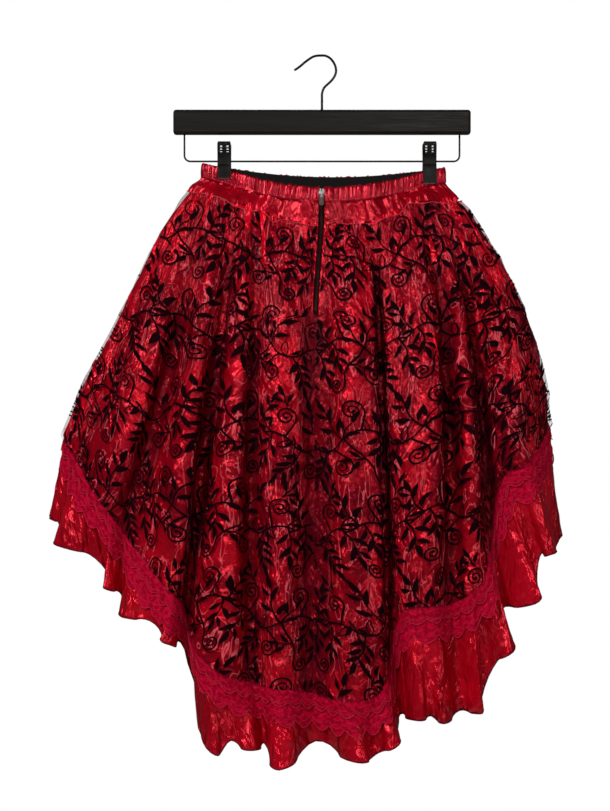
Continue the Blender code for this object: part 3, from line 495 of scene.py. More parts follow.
def fold_depth(skirt, form, normals):
    """How far each point stands out of the form smoothed along its ring, in millimetres."""
    reach = int(FOLD_REACH * skirt.fine)
    total = form.copy()
    for k in range(1, reach + 1):
        total += np.roll(form, k, axis=1) + np.roll(form, -k, axis=1)
    return np.clip(((form - total / (2 * reach + 1)) * normals).sum(axis=-1), -MOST_FOLD, MOST_FOLD)


def gather_heights(across, down):
    """Small uneven gathers under a seam, which fade out down the cloth."""
    fine = noise(across, 0.2 * down, 5.5, 30.0, 11) - 0.5
    wide = noise(across, 0.1 * down, 11.0, 60.0, 16) - 0.5
    return 2.8 * (0.8 * fine + 1.5 * wide) * np.exp(-down / 38.0)


# Meshes

def add_object(name, mesh, material):
    mesh.materials.append(material)
    obj = bpy.data.objects.new(name, mesh)
    bpy.context.scene.collection.objects.link(obj)
    return obj


def shape_object(name, shape, material):
    """An object from a bmesh, which is used up."""
    mesh = bpy.data.meshes.new(name)
    shape.to_mesh(mesh)
    shape.free()
    return add_object(name, mesh, material)


def mesh_object(name, points, faces, material, uv):
    """A smooth object from points in millimetres. uv holds a cloth place in metres for each point."""
    mesh = bpy.data.meshes.new(name)
    faces = np.asarray(faces, np.int32)
    mesh.vertices.add(len(points))
    mesh.vertices.foreach_set("co", (points * MM).astype(np.float32).ravel())
    mesh.loops.add(faces.size)
    mesh.loops.foreach_set("vertex_index", faces.ravel())
    mesh.polygons.add(len(faces))
    mesh.polygons.foreach_set("loop_start", np.arange(0, faces.size, faces.shape[1], dtype=np.int32))
    mesh.update(calc_edges=True)
    layer = mesh.uv_layers.new(name="cloth")
    layer.data.foreach_set("uv", np.asarray(uv, np.float32)[faces.ravel()].ravel())
    mesh.shade_smooth()
    return add_object(name, mesh, material)


def grid_faces(rows, columns, start=0):
    i, j = np.meshgrid(np.arange(rows - 1), np.arange(columns - 1), indexing="ij")
    a = (start + i * columns + j).ravel()
    return np.stack([a, a + columns, a + columns + 1, a + 1], axis=1)


def cloth_uv(across, down):
    return np.stack([straight_across(across), down], axis=-1).reshape(-1, 2) * MM


def sheet_object(name, points, material, across, down):
    """One skin of cloth, facing outwards."""
    faces = grid_faces(*points.shape[:2])
    return mesh_object(name, points.reshape(-1, 3), faces, material, cloth_uv(across, down))


def wall_object(name, points, normals, thickness, material, across, down):
    """Two skins of cloth joined round the rim, the outer one at the given points."""
    rows, columns = points.shape[:2]
    back = rows * columns
    skins = np.concatenate([points.reshape(-1, 3), (points - normals * thickness).reshape(-1, 3)])
    index = np.arange(back).reshape(rows, columns)
    rim = np.concatenate([index[0], index[1:, -1], index[-1, -2::-1], index[-2:0:-1, 0]])
    after = np.roll(rim, -1)
    edge = np.stack([rim, after, after + back, rim + back], axis=1)
    faces = np.concatenate([grid_faces(rows, columns), grid_faces(rows, columns, back)[:, ::-1], edge])
    return mesh_object(name, skins, faces, material, np.tile(cloth_uv(across, down), (2, 1)))


def tube(name, route, radius, material, sides=6):
    """A round tube along a route in millimetres, capped at its ends."""
    route = np.asarray(route, float)
    along = unit(np.gradient(route, axis=0))
    side = unit(np.cross(along, [0.0, 1.0, 0.0]))
    other = unit(np.cross(along, side))
    radius = np.broadcast_to(radius, len(route))[:, None]
    turns = [2 * math.pi * k / sides for k in range(sides)]
    points = np.stack([route + radius * (side * math.cos(a) + other * math.sin(a)) for a in turns], axis=1)
    bulge = 0.3 * radius * along
    points = np.vstack([points.reshape(-1, 3), route[:1] - bulge[:1], route[-1:] + bulge[-1:]])
    around = [(k, (k + 1) % sides) for k in range(sides)]
    last = (len(route) - 1) * sides
    faces = [(base + k, base + m, base + sides + m, base + sides + k)
             for base in range(0, last, sides) for k, m in around]
    faces += [(m, k, last + sides) for k, m in around]
    faces += [(last + k, last + m, last + sides + 1) for k, m in around]
    mesh = bpy.data.meshes.new(name)
    mesh.from_pydata((points * MM).tolist(), [], faces)
    mesh.shade_smooth()
    return add_object(name, mesh, material)


def finish_piece(obj, nodes):
    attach(obj, "skirt")
    if nodes:
        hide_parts(*nodes)
    return obj


# Materials

def shade(colour, share):
    return tuple(share * part for part in colour)


class Finish:
    """A procedural material, built up from nodes. A shader input is named in lower case."""

    def __init__(self, name, **values):
        self.material = bpy.data.materials.new(name)
        self.material.use_nodes = True
        self.tree = self.material.node_tree
        self.shader = self.tree.nodes["Principled BSDF"]
        self.set(**values)

    def add(self, kind, inputs=None, **settings):
        node = self.tree.nodes.new("ShaderNode" + kind)
        for key, value in settings.items():
            setattr(node, key, value)
        for key, value in (inputs or {}).items():
            self.put(node.inputs[key], value)
        return node

    def put(self, socket, value):
        if isinstance(value, bpy.types.NodeSocket):
            self.tree.links.new(value, socket)
        else:
            socket.default_value = (*value, 1.0) if socket.type == "RGBA" else value

    def set(self, **values):
        for key, value in values.items():
            self.put(self.shader.inputs[key.replace("_", " ").title().replace("Ior", "IOR")], value)
        return self.material

    def cloth(self):
        return self.add("UVMap", uv_map="cloth").outputs["UV"]

    def place(self):
        return self.add("TexCoord").outputs["Object"]

    def noise(self, vector, scale=1.0, detail=3.0, roughness=0.5, distortion=0.0):
        """Noise at one scale, or at three that stretch it along the axes."""
        if isinstance(scale, tuple):
            vector, scale = self.add("Mapping", {"Vector": vector, "Scale": scale}).outputs["Vector"], 1.0
        return self.add("TexNoise", {"Vector": vector, "Scale": scale, "Detail": detail,
                                     "Roughness": roughness, "Distortion": distortion}).outputs["Fac"]

    def woven(self, across, down, detail=3.0, distortion=0.0):
        """Noise over the cloth map, with so many cells a metre."""
        return self.noise(self.cloth(), (across, down, 1.0), detail, distortion=distortion)

    def wave(self, vector, scale, direction):
        node = self.add("TexWave", {"Vector": vector, "Scale": scale}, bands_direction=direction)
        return node.outputs["Fac"]

    def ramp(self, value, *stops):
        node = self.add("ValToRGB", {"Fac": value})
        elements = node.color_ramp.elements
        while len(elements) < len(stops):
            elements.new(0.5)
        for element, (place, colour) in zip(elements, stops):
            element.position = place
            element.color = (*(colour if isinstance(colour, tuple) else 3 * (colour,)), 1.0)
        return node.outputs["Color"]

    def math(self, operation, a, b=0.0):
        return self.add("Math", {0: a, 1: b}, operation=operation).outputs[0]

    def plus(self, a, b):
        return self.math("ADD", a, b)

    def times(self, a, b):
        return self.math("MULTIPLY", a, b)

    def ridged(self, value, level=0.5):
        """Turns smooth noise into sharp creases, where it crosses a level."""
        off = self.math("ABSOLUTE", self.math("SUBTRACT", value, level))
        return self.math("SUBTRACT", 1.0, self.times(off, 4.0))

    # Depth in a fold, by which the finishes paint shade
    def valley(self):
        return self.add("Attribute", attribute_name="valley").outputs["Fac"]

    def mix(self, share, first, second, blend="MIX"):
        node = self.add("Mix", {0: share}, data_type="RGBA", blend_type=blend)
        self.put(node.inputs[6], first)
        self.put(node.inputs[7], second)
        return node.outputs[2]

    def bump(self, height, distance, under=None):
        inputs = {"Height": height, "Distance": distance, "Strength": 1.0}
        if under is not None:
            inputs["Normal"] = under
        return self.add("Bump", inputs).outputs["Normal"]


def satin_finish(name, dark, light, crease=1.0, painted_fold_shade=False, grain=1.0):
    """Glossy satin: creases that break up its highlights, and a fine cross weave. It can also take
    painted shade: its colour is darkened where it lies deep in a fold."""
    look = Finish(name, metallic=0.35, ior=1.6, specular_tint=(1.0, 0.3, 0.34))

    def noise_at(across, down, *rest):
        return look.woven(grain * across, grain * down, *rest)

    colour = look.ramp(noise_at(34.0, 15.0, 4.0), (0.34, dark), (0.66, light))
    # Painted shade: deep in a fold the colour is multiplied down towards a dark red
    if painted_fold_shade:
        colour = look.mix(look.times(look.valley(), 0.5), colour, (0.12, 0.05, 0.05), "MULTIPLY")
    normal = look.bump(noise_at(42.0, 20.0, 1.5, 1.8), 0.011 * crease)
    normal = look.bump(look.ridged(noise_at(58.0, 30.0, 1.0, 1.6)), 0.0012 * crease, normal)
    normal = look.bump(noise_at(130.0, 70.0, 1.0, 1.2), 0.0018 * crease, normal)
    return look.set(base_color=colour, roughness=look.ramp(noise_at(60.0, 30.0), (0.3, 0.17), (0.7, 0.3)),
                    normal=look.bump(look.wave(look.cloth(), 900.0, "Y"), 0.00002, normal))


def organza_finish(name):
    """Sheer dark red cloth, deeper where it bunches and in fold valleys, with painted highlights along a few
    thin creases.
    """
    look = Finish(name, roughness=0.4, specular_tint=(1.0, 0.5, 0.5), specular_ior_level=0.08)
    crinkled = look.woven(58.0, 12.0, distortion=1.5)
    creases = look.math("MAXIMUM", look.ridged(crinkled, 0.6), look.ridged(crinkled, 0.42))
    # Painted highlight: pale pink along thin creases, left out deep in fold valleys as painted shade
    line = look.ramp(creases, (0.945, 0.0), (0.985, 1.0))
    painted_crease_highlight = look.times(line, look.math("SUBTRACT", 1.0, look.valley()))
    bunch = look.ramp(look.woven(30.0, 9.0, 2.0, 0.6), (0.42, 0.0), (0.62, 1.0))
    # Denser where it bunches, and in fold valleys, where it stands for doubled cloth and also paints shade
    sheer = look.plus(look.plus(0.2, look.times(bunch, 0.26)), look.times(look.valley(), 0.14))
    # The pale pink is the painted crease highlight over the dark red cloth
    return look.set(base_color=look.ramp(painted_crease_highlight, (0.0, (0.055, 0.0, 0.006)), (1.0, (0.78, 0.1, 0.13))),
                    alpha=look.plus(sheer, look.times(painted_crease_highlight, 0.3)),
                    normal=look.bump(look.woven(420.0, 160.0, 2.0), 0.0002, look.bump(creases, 0.0009)))


def flock_finish():
    look = Finish("flock", roughness=0.85, specular_ior_level=0.04)
    pile = look.noise(look.place(), 2600.0, 2.0)
    colour = look.ramp(pile, (0.35, (0.003, 0.0, 0.0005)), (0.75, (0.014, 0.0, 0.002)))
    return look.set(base_color=colour, normal=look.bump(pile, 0.0003))


def lace_finish(name, colour, holes):
    """Net of small cells with denser motifs, crossed by swooping rows of thicker thread.
    Holes is how open the net is."""
    look = Finish(name, roughness=0.65, specular_ior_level=0.1, specular_tint=(1.0, 0.4, 0.5))
    cloth = look.cloth()
    cells = look.add("TexVoronoi", {"Vector": cloth, "Scale": 620.0, "Randomness": 0.35},
                     feature="DISTANCE_TO_EDGE").outputs["Distance"]
    motif = look.woven(170.0, 190.0, 1.0)
    thread = look.ramp(cells, (0.10, 1.0), (0.26, 0.0))
    dense = look.ramp(motif, (0.44, 0.0), (0.5, 1.0))
    place = look.add("SeparateXYZ", {"Vector": cloth}).outputs
    swoop = look.math("ABSOLUTE", look.math("SINE", look.times(place["X"], math.pi / 0.026)))
    depth = look.plus(place["Y"], look.times(swoop, -0.005))
    depth = look.plus(depth, look.times(look.woven(40.0, 40.0, 1.0), 0.02))
    rows = look.ramp(look.math("SINE", look.times(depth, 2 * math.pi / 0.0065)), (0.7, 0.0), (0.96, 1.0))
    row = look.times(rows, look.ramp(motif, (0.4, 0.0), (0.6, 0.7)))
    solid = look.math("MAXIMUM", look.math("MAXIMUM", thread, dense), row)
    light = (min(1.0, 1.9 * colour[0]), colour[1] + 0.012, 1.9 * colour[2] + 0.014)
    body = look.ramp(solid, (0.1, colour), (1.0, shade(colour, 1.25)))
    return look.set(base_color=look.mix(row, body, light),
                    alpha=look.ramp(solid, (0.0, 1.0 - holes), (0.5, 1.0)),
                    normal=look.bump(look.plus(solid, row), 0.0005))


def thread_finish(name, colour):
    look = Finish(name, roughness=0.5, specular_ior_level=0.15)
    twist = look.wave(look.place(), 900.0, "DIAGONAL")
    return look.set(base_color=look.ramp(twist, (0.2, shade(colour, 0.5)), (0.8, colour)),
                    normal=look.bump(twist, 0.0002))


def woven_finish(name, colour):
    """Plain black tape or facing, woven across and down."""
    look = Finish(name, roughness=0.85, specular_ior_level=0.15)
    weave = look.times(*(look.wave(look.cloth(), 330.0, direction) for direction in "XY"))
    return look.set(base_color=look.ramp(weave, (0.2, colour), (0.8, shade(colour, 2.2))),
                    normal=look.bump(weave, 0.0003))


def metal_finish(name, colour, rough):
    look = Finish(name, metallic=1.0)
    grain = look.noise(look.place(), 900.0)
    wear = look.noise(look.place(), 60.0, 4.0)
    return look.set(base_color=look.ramp(wear, (0.35, shade(colour, 0.8)), (0.7, colour)),
                    roughness=look.ramp(grain, (0.3, rough * 0.7), (0.7, min(1.0, rough * 1.4))),
                    normal=look.bump(grain, 0.00003))


def plastic_finish(name, colour, rough):
    look = Finish(name, specular_ior_level=0.08)
    wear = look.noise(look.place(), 90.0, 5.0)
    light = tuple(1.8 * part + 0.003 for part in colour)
    return look.set(base_color=look.ramp(wear, (0.4, colour), (0.75, light)),
                    roughness=look.ramp(wear, (0.3, rough * 0.8), (0.7, rough * 1.3)),
                    normal=look.bump(look.noise(look.place(), 1500.0, 2.0), 0.00006))


def wood_finish():
    """Nearly black lacquer over a straight grain that runs along the bar."""
    look = Finish("lacquered_wood", specular_ior_level=0.1)
    grain = look.noise(look.place(), (7.0, 220.0, 260.0), 6.0, 0.6, 0.4)
    pores = look.noise(look.place(), (30.0, 900.0, 1100.0), 2.0)
    tones = [(0.3, (0.003, 0.0022, 0.0018)), (0.6, (0.007, 0.0054, 0.0042)), (0.85, (0.016, 0.012, 0.009))]
    return look.set(base_color=look.ramp(grain, *tones),
                    roughness=look.ramp(pores, (0.3, 0.34), (0.7, 0.5)),
                    normal=look.bump(pores, 0.00012, look.bump(grain, 0.00015)))


# The skirt's cloth

def skirt_layer(skirt, levels, lift, crush, drop=0.0):
    """Displaced points of one layer, with its normals, the plain form's cloth map and the depth of its
    valleys. Crush is a table of small creases, lift the layer's height for each point, and drop how
    far the layer starts below the seam, so that the creases of two layers agree."""
    form, normals = skirt.grid(levels)
    true_across, down = cloth_map(form, skirt.column(CENTRE_BACK))
    across, down = straight_across(true_across), down + drop
    back = skirt.fold_numbers % RING < BACK_COUNT
    height = np.where(back, crease_heights(form, BACK_CREASES), crease_heights(form, FRONT_CREASES))
    depth = fold_depth(skirt, form, normals) * np.clip(down / 60.0, 0.0, 1.0)
    # How deep in a fold each point lies, from 0 to 1, where the finishes paint shade
    valley = np.clip(-(depth + 0.7 * height) / VALLEY_DEPTH, 0.0, 1.0)
    above_hem = np.stack([4.0 - level for level in levels])
    height = height + FOLD_GAIN * depth * np.clip(above_hem / FOLD_FADE, 0.0, 1.0)
    height = height + gather_heights(across, down)
    fade = np.clip(down / 14.0, 0.25, 1.0)
    for cell_u, cell_v, size, seed in crush:
        height = height + size * fade * (crinkle(across, down, cell_u, cell_v, seed) - 0.5)
    return form + normals * (height + lift)[..., None], normals, true_across, down, valley


def panel_across(own):
    """A panel's share of the cloth map. It keeps rising where the panel ends on the ring's first column."""
    fallen = own[:, -1] < own[:, -2]
    own[fallen, -1] = 2 * own[fallen, -2] - own[fallen, -3]
    return own


def panel_edges(panel, levels, width):
    """How far a panel draws back at the zip's slit, at its first and at its last column."""
    slit = np.where(np.array([np.max(level) for level in levels]) < ZIP_END_LEVEL + 0.01, width, 0.0)
    return (slit if panel == "back_right" else 0.0), (slit if panel == "back_left" else 0.0)


def draw_back(points, gaps, reach=4):
    """Squeezes a panel's outer columns inwards, so that its edge stands back by the gap."""
    points = points.copy()
    for side, gap in zip((0, -1), gaps):
        order = range(reach) if side == 0 else range(-1, -reach - 1, -1)
        inner = points[:, reach if side == 0 else -reach - 1]
        length = np.linalg.norm(inner - points[:, side], axis=1)
        share = np.clip(gap / length, 0.0, 0.9)[:, None]
        for column in order:
            points[:, column] += (inner - points[:, column]) * share
    return points


def level_rows(skirt, start, end, step):
    """Levels from start to end, whole numbers or rings of them, in rows about step apart."""
    start, end = (np.broadcast_to(np.asarray(value, float), skirt.count) for value in (start, end))
    longest = np.linalg.norm(np.diff(skirt.levels, axis=0), axis=2).max(axis=1)
    top, foot = np.interp([start.min(), end.max()], range(5), np.append(0, np.cumsum(longest)))
    return steps(start, end, max(3, int((foot - top) / step)))


def down_the_cloth(levels, table):
    """A table of shares of the way down and values, read at every row."""
    return np.interp(np.linspace(0.0, 1.0, len(levels)), *zip(*table))[:, None]


def side_lift(skirt, levels):
    """How far the cloth stands out over the side folds, which the hips hold open."""
    away = np.min([abs(skirt.fold_numbers % RING - side) for side in (0.0, BACK_COUNT, RING)], axis=0)
    near = np.clip(1.0 - away / SIDE_FOLDS, 0.0, 1.0) ** 1.5
    return OVERLAY_SIDE_LIFT * down_the_cloth(levels, SIDE_ARCH) * near


def overlay_lift(skirt, levels):
    rise = (OVERLAY_HEM_LIFT - OVERLAY_TOP_LIFT) * down_the_cloth(levels, OVERLAY_RISE)
    return OVERLAY_TOP_LIFT + rise + side_lift(skirt, levels)


def panel_sheet(slot, part, node, points, finish, across, down, valley):
    """One panel of cloth, which knows how deep in a fold each point lies: there the crushed satin's finish
    paints shade, and the organza grows denser, which partly paints shade.
    """
    obj = sheet_object(f"{slot}_{part}", points, finish, across, down)
    layer = obj.data.attributes.new("valley", "FLOAT", "POINT")
    layer.data.foreach_set("value", valley.astype(np.float32).ravel())
    return finish_piece(obj, [node])


def build_satin(skirt, finish, yoke_finish):
    yoke_levels = level_rows(skirt, skirt.level_below(1, -YOKE_TUCK), YOKE_FOOT, YOKE_ROW)
    seam, hem = skirt.level_below(2, SEAM_GAP), skirt.level_below(4, -SEAM_GAP)
    long_levels = level_rows(skirt, seam, hem, CLOTH_ROW)
    long_lift = SATIN_LIFT + SATIN_SIDE_SHARE * side_lift(skirt, long_levels)
    for part, levels, lift, crush, cloth in (("yoke", yoke_levels, SATIN_LIFT, YOKE_CRUSH, yoke_finish),
                                             ("underskirt", long_levels, long_lift, SATIN_CRUSH, finish)):
        points, _, *maps = skirt_layer(skirt, levels, lift, crush)
        for panel, own, across, down, valley in skirt.panels(points, *maps):
            own = draw_back(own, panel_edges(panel, levels, ZIP_HALF_SLIT))
            name, across = f"{part}_{panel}", panel_across(across)
            obj = panel_sheet("satin", name, name, own, cloth, across, down, valley)


def build_overlay(skirt, finish, flock, thread):
    """Sheer panels whose bound top edge wavers below the yoke, each with its flocked vine."""
    seam = travel(skirt.at_level(2.0))
    waver = EDGE_WAVER * noise(seam, 0.0 * seam, 15.0, 10.0, 83)
    levels = level_rows(skirt, skirt.level_below(2, SEAM_GAP + waver), 4.0, CLOTH_ROW)
    layer = skirt_layer(skirt, levels, overlay_lift(skirt, levels), ORGANZA_CRUSH, waver)
    for panel, own, out, across, down, valley in skirt.panels(*layer):
        own = draw_back(own, panel_edges(panel, levels, ZIP_HALF_SLIT + 1.0))
        across = panel_across(across)
        obj = panel_sheet("organza", panel, f"overlay_{panel}", own, finish, across, down, valley)
        edge = tube(f"bound_edge_{panel}", own[0] + 0.2 * out[0], EDGE_THREAD, thread)
        finish_piece(edge, [])
        middle = (own.shape[1] - 1) // 2
        vine = build_vine(f"flock_{panel}", own, out, across - across[:, middle:middle + 1], down, flock)


# The flocked vine

def bowed_line(x, y, heading, length, bow):
    """Nine places along a slightly bowed line, and the direction to its side. Y points down the cloth."""
    t = np.linspace(0.0, 1.0, 9)
    along = np.array([math.cos(heading), -math.sin(heading)])
    side = np.array([along[1], -along[0]])
    bend = bow * length * np.sin(np.pi * t)
    return np.array([x, y]) + np.outer(t * length, along) + np.outer(bend, side), side


class Flat:
    """Points and faces drawn flat on the cloth, in millimetres across and down."""

    def __init__(self):
        self.points, self.faces, self.heights = [], [], []

    def strip(self, middle, left, right, crown):
        """A strip between two edges with its middle raised."""
        start = len(self.points)
        for m, a, b in zip(middle, left, right):
            self.points += [a, m, b]
            self.heights += [0.0, crown, 0.0]
        for base in range(start, len(self.points) - 3, 3):
            self.faces += [(k, k + 3, k + 4, k + 1) for k in (base, base + 1)]

    def ribbon(self, line, width):
        line = np.asarray(line, float)
        along = unit(np.gradient(line, axis=0))
        off = np.stack([-along[:, 1], along[:, 0]], axis=1) * np.broadcast_to(width, len(line))[:, None] / 2
        self.strip(line, line - off, line + off, 0.12)

    def leaf(self, x, y, heading, length, width, hollow=False):
        middle, side = bowed_line(x, y, heading, length, LEAF_BOW)
        half = width / 2 * np.sin(np.pi * np.linspace(0.0, 1.0, 9)**0.85) ** 0.9
        left, right = middle - half[:, None] * side, middle + half[:, None] * side
        if hollow:
            self.ribbon(np.vstack([left, right[-2::-1]]), 1.3)
        else:
            self.strip(middle, left, right, 0.2)


def spiral_line(x, y, cx, cy, radius, turns, hand):
    """From a place on the stem round into a spiral."""
    angles = np.linspace(0.0, turns * 2 * math.pi, int(20 * turns))
    reach = radius * (1.0 - 0.86 * (angles / angles[-1]) ** 0.8)
    turn = math.atan2(y - cy, x - cx) + hand * (angles + 0.75)
    curl = np.stack([cx + reach * np.cos(turn), cy + reach * np.sin(turn)], axis=1)
    return open_spline(np.vstack([[(x, y)], curl]), 2.4)


def draw_repeat(flat, shift_x, shift_y, mirror):
    """One repeat of the vine, in its place on the cloth."""
    def put(x, y):
        return (REPEAT_WIDTH - x if mirror else x) + shift_x, y + shift_y

    def turned(degrees):
        return math.pi - math.radians(degrees) if mirror else math.radians(degrees)

    for stem in VINE_STEMS:
        flat.ribbon(open_spline([put(x, y) for x, y in stem], 3.0), STEM_WIDTH)
    for x, y, cx, cy, radius, turns, hand in VINE_SPIRALS:
        line = spiral_line(*put(x, y), *put(cx, cy), radius, turns, -hand if mirror else hand)
        flat.ribbon(line, np.linspace(STEM_WIDTH, 1.5, len(line)))
        flat.leaf(line[-1][0] - 1.9, line[-1][1], 0.0, 3.8, 3.4)
    for x, y, degrees, length, pairs, size in VINE_SPRAYS:
        heading = turned(degrees)
        line, side = bowed_line(*put(x, y), heading, length, SPRAY_BOW)
        flat.ribbon(line, np.linspace(STEM_WIDTH, 1.2, 9))
        flat.leaf(*line[-1], heading, LEAF_LENGTH * size, LEAF_WIDTH * size)
        for number in range(2 * pairs):
            share = 0.2 + 0.62 * (number // 2 + 0.38 * (number % 2)) / max(1, pairs - 0.62)
            bend = SPRAY_BOW * length * math.sin(math.pi * share)
            spot = line[0] + (line[-1] - line[0]) * share + side * bend
            angle = heading + (1.0 if number % 2 else -1.0) * (0.86 - 0.3 * share)
            grown = size * (1.0 - 0.16 * share + 0.07 * (number % 3 - 1))
            tip = spot + LEAF_STALK * np.array([math.cos(angle), -math.sin(angle)])
            flat.ribbon([spot, (spot + tip) / 2, tip], 1.2)
            flat.leaf(*tip, angle, LEAF_LENGTH * grown, LEAF_WIDTH * grown)
    for x, y, degrees, length, width in OPEN_LEAVES:
        flat.leaf(*put(x, y), turned(degrees), length, width, hollow=True)


def cells_of(grid, i, j):
    """The row and the column before each place."""
    return np.clip(i.astype(int), 0, grid.shape[0] - 2), np.clip(j.astype(int), 0, grid.shape[1] - 2)


def read_grid(grid, i, j):
    """Values of a grid at row and column places that may fall between its points."""
    low_i, low_j = cells_of(grid, i, j)
    f, g = i - low_i, j - low_j
    if grid.ndim == 3:
        f, g = f[:, None], g[:, None]
    top, low = (grid[row, low_j] * (1 - g) + grid[row, low_j + 1] * g for row in (low_i, low_i + 1))
    return top * (1 - f) + low * f


def find_places(across, down, u, v):
    """Row and column places at which a cloth map reads u across and v down, and whether it does."""
    last_i, last_j = across.shape[0] - 1.001, across.shape[1] - 1.001
    i = np.clip(v / (down[-1].mean() / (len(across) - 1)), 0, last_i)
    j = np.clip(np.interp(u, across[len(across) // 2], np.arange(across.shape[1])), 0, last_j)
    for _ in range(14):
        miss_u, miss_v = u - read_grid(across, i, j), v - read_grid(down, i, j)
        low_i, low_j = cells_of(across, i, j)
        step_u = np.maximum(across[low_i, low_j + 1] - across[low_i, low_j], 0.2)
        step_v = np.maximum(down[low_i + 1, low_j] - down[low_i, low_j], 0.2)
        j = np.clip(j + np.clip(0.8 * miss_u / step_u, -25, 25), 0, last_j)
        i = np.clip(i + np.clip(0.8 * miss_v / step_v, -25, 25), 0, last_i)
    return i, j, np.hypot(u - read_grid(across, i, j), v - read_grid(down, i, j)) < 0.6


def lay_on(name, flat, points, normals, across, down, lift, material):
    """Lays a flat drawing on the cloth and drops the faces that fall off its edges."""
    drawn = np.array(flat.points, float)
    i, j, inside = find_places(across, down, drawn[:, 0], drawn[:, 1])
    out = unit(read_grid(normals, i, j)) * (lift + np.array(flat.heights))[:, None]
    placed = read_grid(points, i, j) + out
    faces = np.array(flat.faces)
    faces = faces[inside[faces].all(axis=1)]
    used = np.unique(faces)
    renumber = np.full(len(drawn), -1)
    renumber[used] = np.arange(len(used))
    return mesh_object(name, placed[used], renumber[faces], material, drawn[used] * MM)


def build_vine(name, points, normals, across, down, material):
    flat = Flat()
    first = int(math.floor(across.min() / REPEAT_WIDTH)) - 1
    last = int(math.ceil(across.max() / REPEAT_WIDTH)) + 1
    for row in range(-1, int(down.max() / REPEAT_HEIGHT) + 1):
        shift = REPEAT_WIDTH / 2 if row % 2 else 0.0
        for column in range(first, last):
            draw_repeat(flat, column * REPEAT_WIDTH + shift, row * REPEAT_HEIGHT, row % 2 == 0)
    vine = lay_on(name, flat, points, normals, across, down, FLOCK_LIFT, material)
    return finish_piece(vine, [])


# Waistband, ruffle and lace

def build_waistband(skirt, finish, facing_finish, thread):
    """The elastic casing, with uneven gathers, a row of stitches, and the facing inside."""
    levels = steps(np.zeros(skirt.count), skirt.level_below(1, -0.15), CASING_ROWS)
    form, normals = skirt.grid(levels)
    for number, (panel, own, facing) in enumerate(skirt.panels(form, normals)):
        across, _ = cloth_map(own)
        length = across[0, -1]
        count = int(length / CASING_STEP)
        places = np.interp(np.linspace(0, length, count), across[0], np.arange(own.shape[1]))
        at = np.repeat(np.arange(CASING_ROWS, dtype=float), count), np.tile(places, CASING_ROWS)
        grid = read_grid(own, *at).reshape(CASING_ROWS, count, 3)
        out = unit(read_grid(facing, *at).reshape(CASING_ROWS, count, 3))
        across, down = cloth_map(grid)
        seed = 31 + 40 * number
        sway = 1.6 * (noise(across, down, 9.0, 6.0, seed) - 0.5)
        fold = noise(across + sway, 0.13 * down, 1.9, 6.0, seed + 6)
        wide = noise(across, 0.6 * down, 8.0, 7.0, seed + 10)
        puff = np.sin(np.pi * np.clip(down / down[-1], 0, 1)) ** 0.5
        grid = grid + out * (0.3 + 2.7 * fold * (0.5 + 0.5 * puff) + 1.3 * wide * puff)[..., None]
        head = np.clip(1.0 - down / 3.0, 0, 1)
        foot = np.clip((down - down[-1]) / 3.0 + 1.0, 0, 1)
        grid[..., 2] += (2.2 * head - 1.6 * foot) * (fold - 0.4)
        grid = draw_back(grid, panel_edges(panel, levels, ZIP_HALF_SLIT))
        obj = wall_object(f"casing_{panel}", grid, out, CASING_THICKNESS, finish, across, down)
        finish_piece(obj, [f"waistband_{panel}"])
        flat = Flat()
        for x in np.arange(1.0, length - 3.0, STITCH_PITCH):
            flat.ribbon([(x + dx, STITCH_LINE) for dx in (0.0, 0.8, 1.7)], 0.45)
        stitches = lay_on(f"stitches_{panel}", flat, grid, out, across, down, 0.25, thread)
        finish_piece(stitches, [])
    # The front, which is the last panel, has the facing inside
    own, out = (grid[:, FACING_INSET:-FACING_INSET] for grid in (own, facing))
    own = own + out * FACING_LIFT
    obj = wall_object("facing_inside", own, out, TAPE_THICKNESS, facing_finish, *cloth_map(own))
    finish_piece(obj, ["waist_facing_front"])


def tucked(skirt, points, shares):
    """Draws the ruffle's walls in under its lobes, more towards the edge, as full gathers do."""
    reach = skirt.fine
    row = sum(np.roll(points, -k, axis=1) - np.roll(points, k, axis=1) for k in range(1, reach + 1))
    row = row / (reach + 1)
    turn = 2 * math.pi * np.arange(skirt.count) / skirt.fine
    pull = RUFFLE_TUCKING * np.stack(shares) ** 1.3 * np.sin(turn) / (2 * math.pi)
    return points + row * pull[..., None]


def build_ruffle(skirt, finish, hem_finish):
    shares = steps(np.zeros(skirt.count), np.ones(skirt.count), RUFFLE_ROWS)
    form, seam_normals = skirt.ruffle_grid(shares)
    form = tucked(skirt, form, shares)
    blend = np.linspace(0.0, 1.0, RUFFLE_ROWS)[:, None, None] ** 0.7
    normals = unit(np.cross(np.gradient(form, axis=0), ring_step(form)))
    normals = unit(seam_normals * (1 - blend) + normals * blend)
    across, down = cloth_map(form)
    across = straight_across(across)
    height = 1.1 * (noise(across, down, 8.0, 26.0, 51) - 0.5)
    height += 1.0 * (noise(across + 0.4 * down, down, 6.0, 11.0, 57) - 0.5)
    height += 6.0 * (noise(across, 0.4 * down, 17.0, 40.0, 61) - 0.5)
    height *= np.clip((down - 14.0) / 45.0, 0.1, 1.0)
    points = form + normals * (0.9 * np.minimum(down / 9.0, 1.0) - 0.4 + height)[..., None]
    for length, own, out in skirt.lengths(points, normals):
        obj = wall_object(f"satin_ruffle_{length}", own, out, RUFFLE_THICKNESS, finish, *cloth_map(own))
        finish_piece(obj, [f"ruffle_{length}"])
        hem = tube(f"rolled_hem_{length}", own[-1] - RUFFLE_THICKNESS / 2 * out[-1], HEM_RADIUS, hem_finish)
        finish_piece(hem, [])


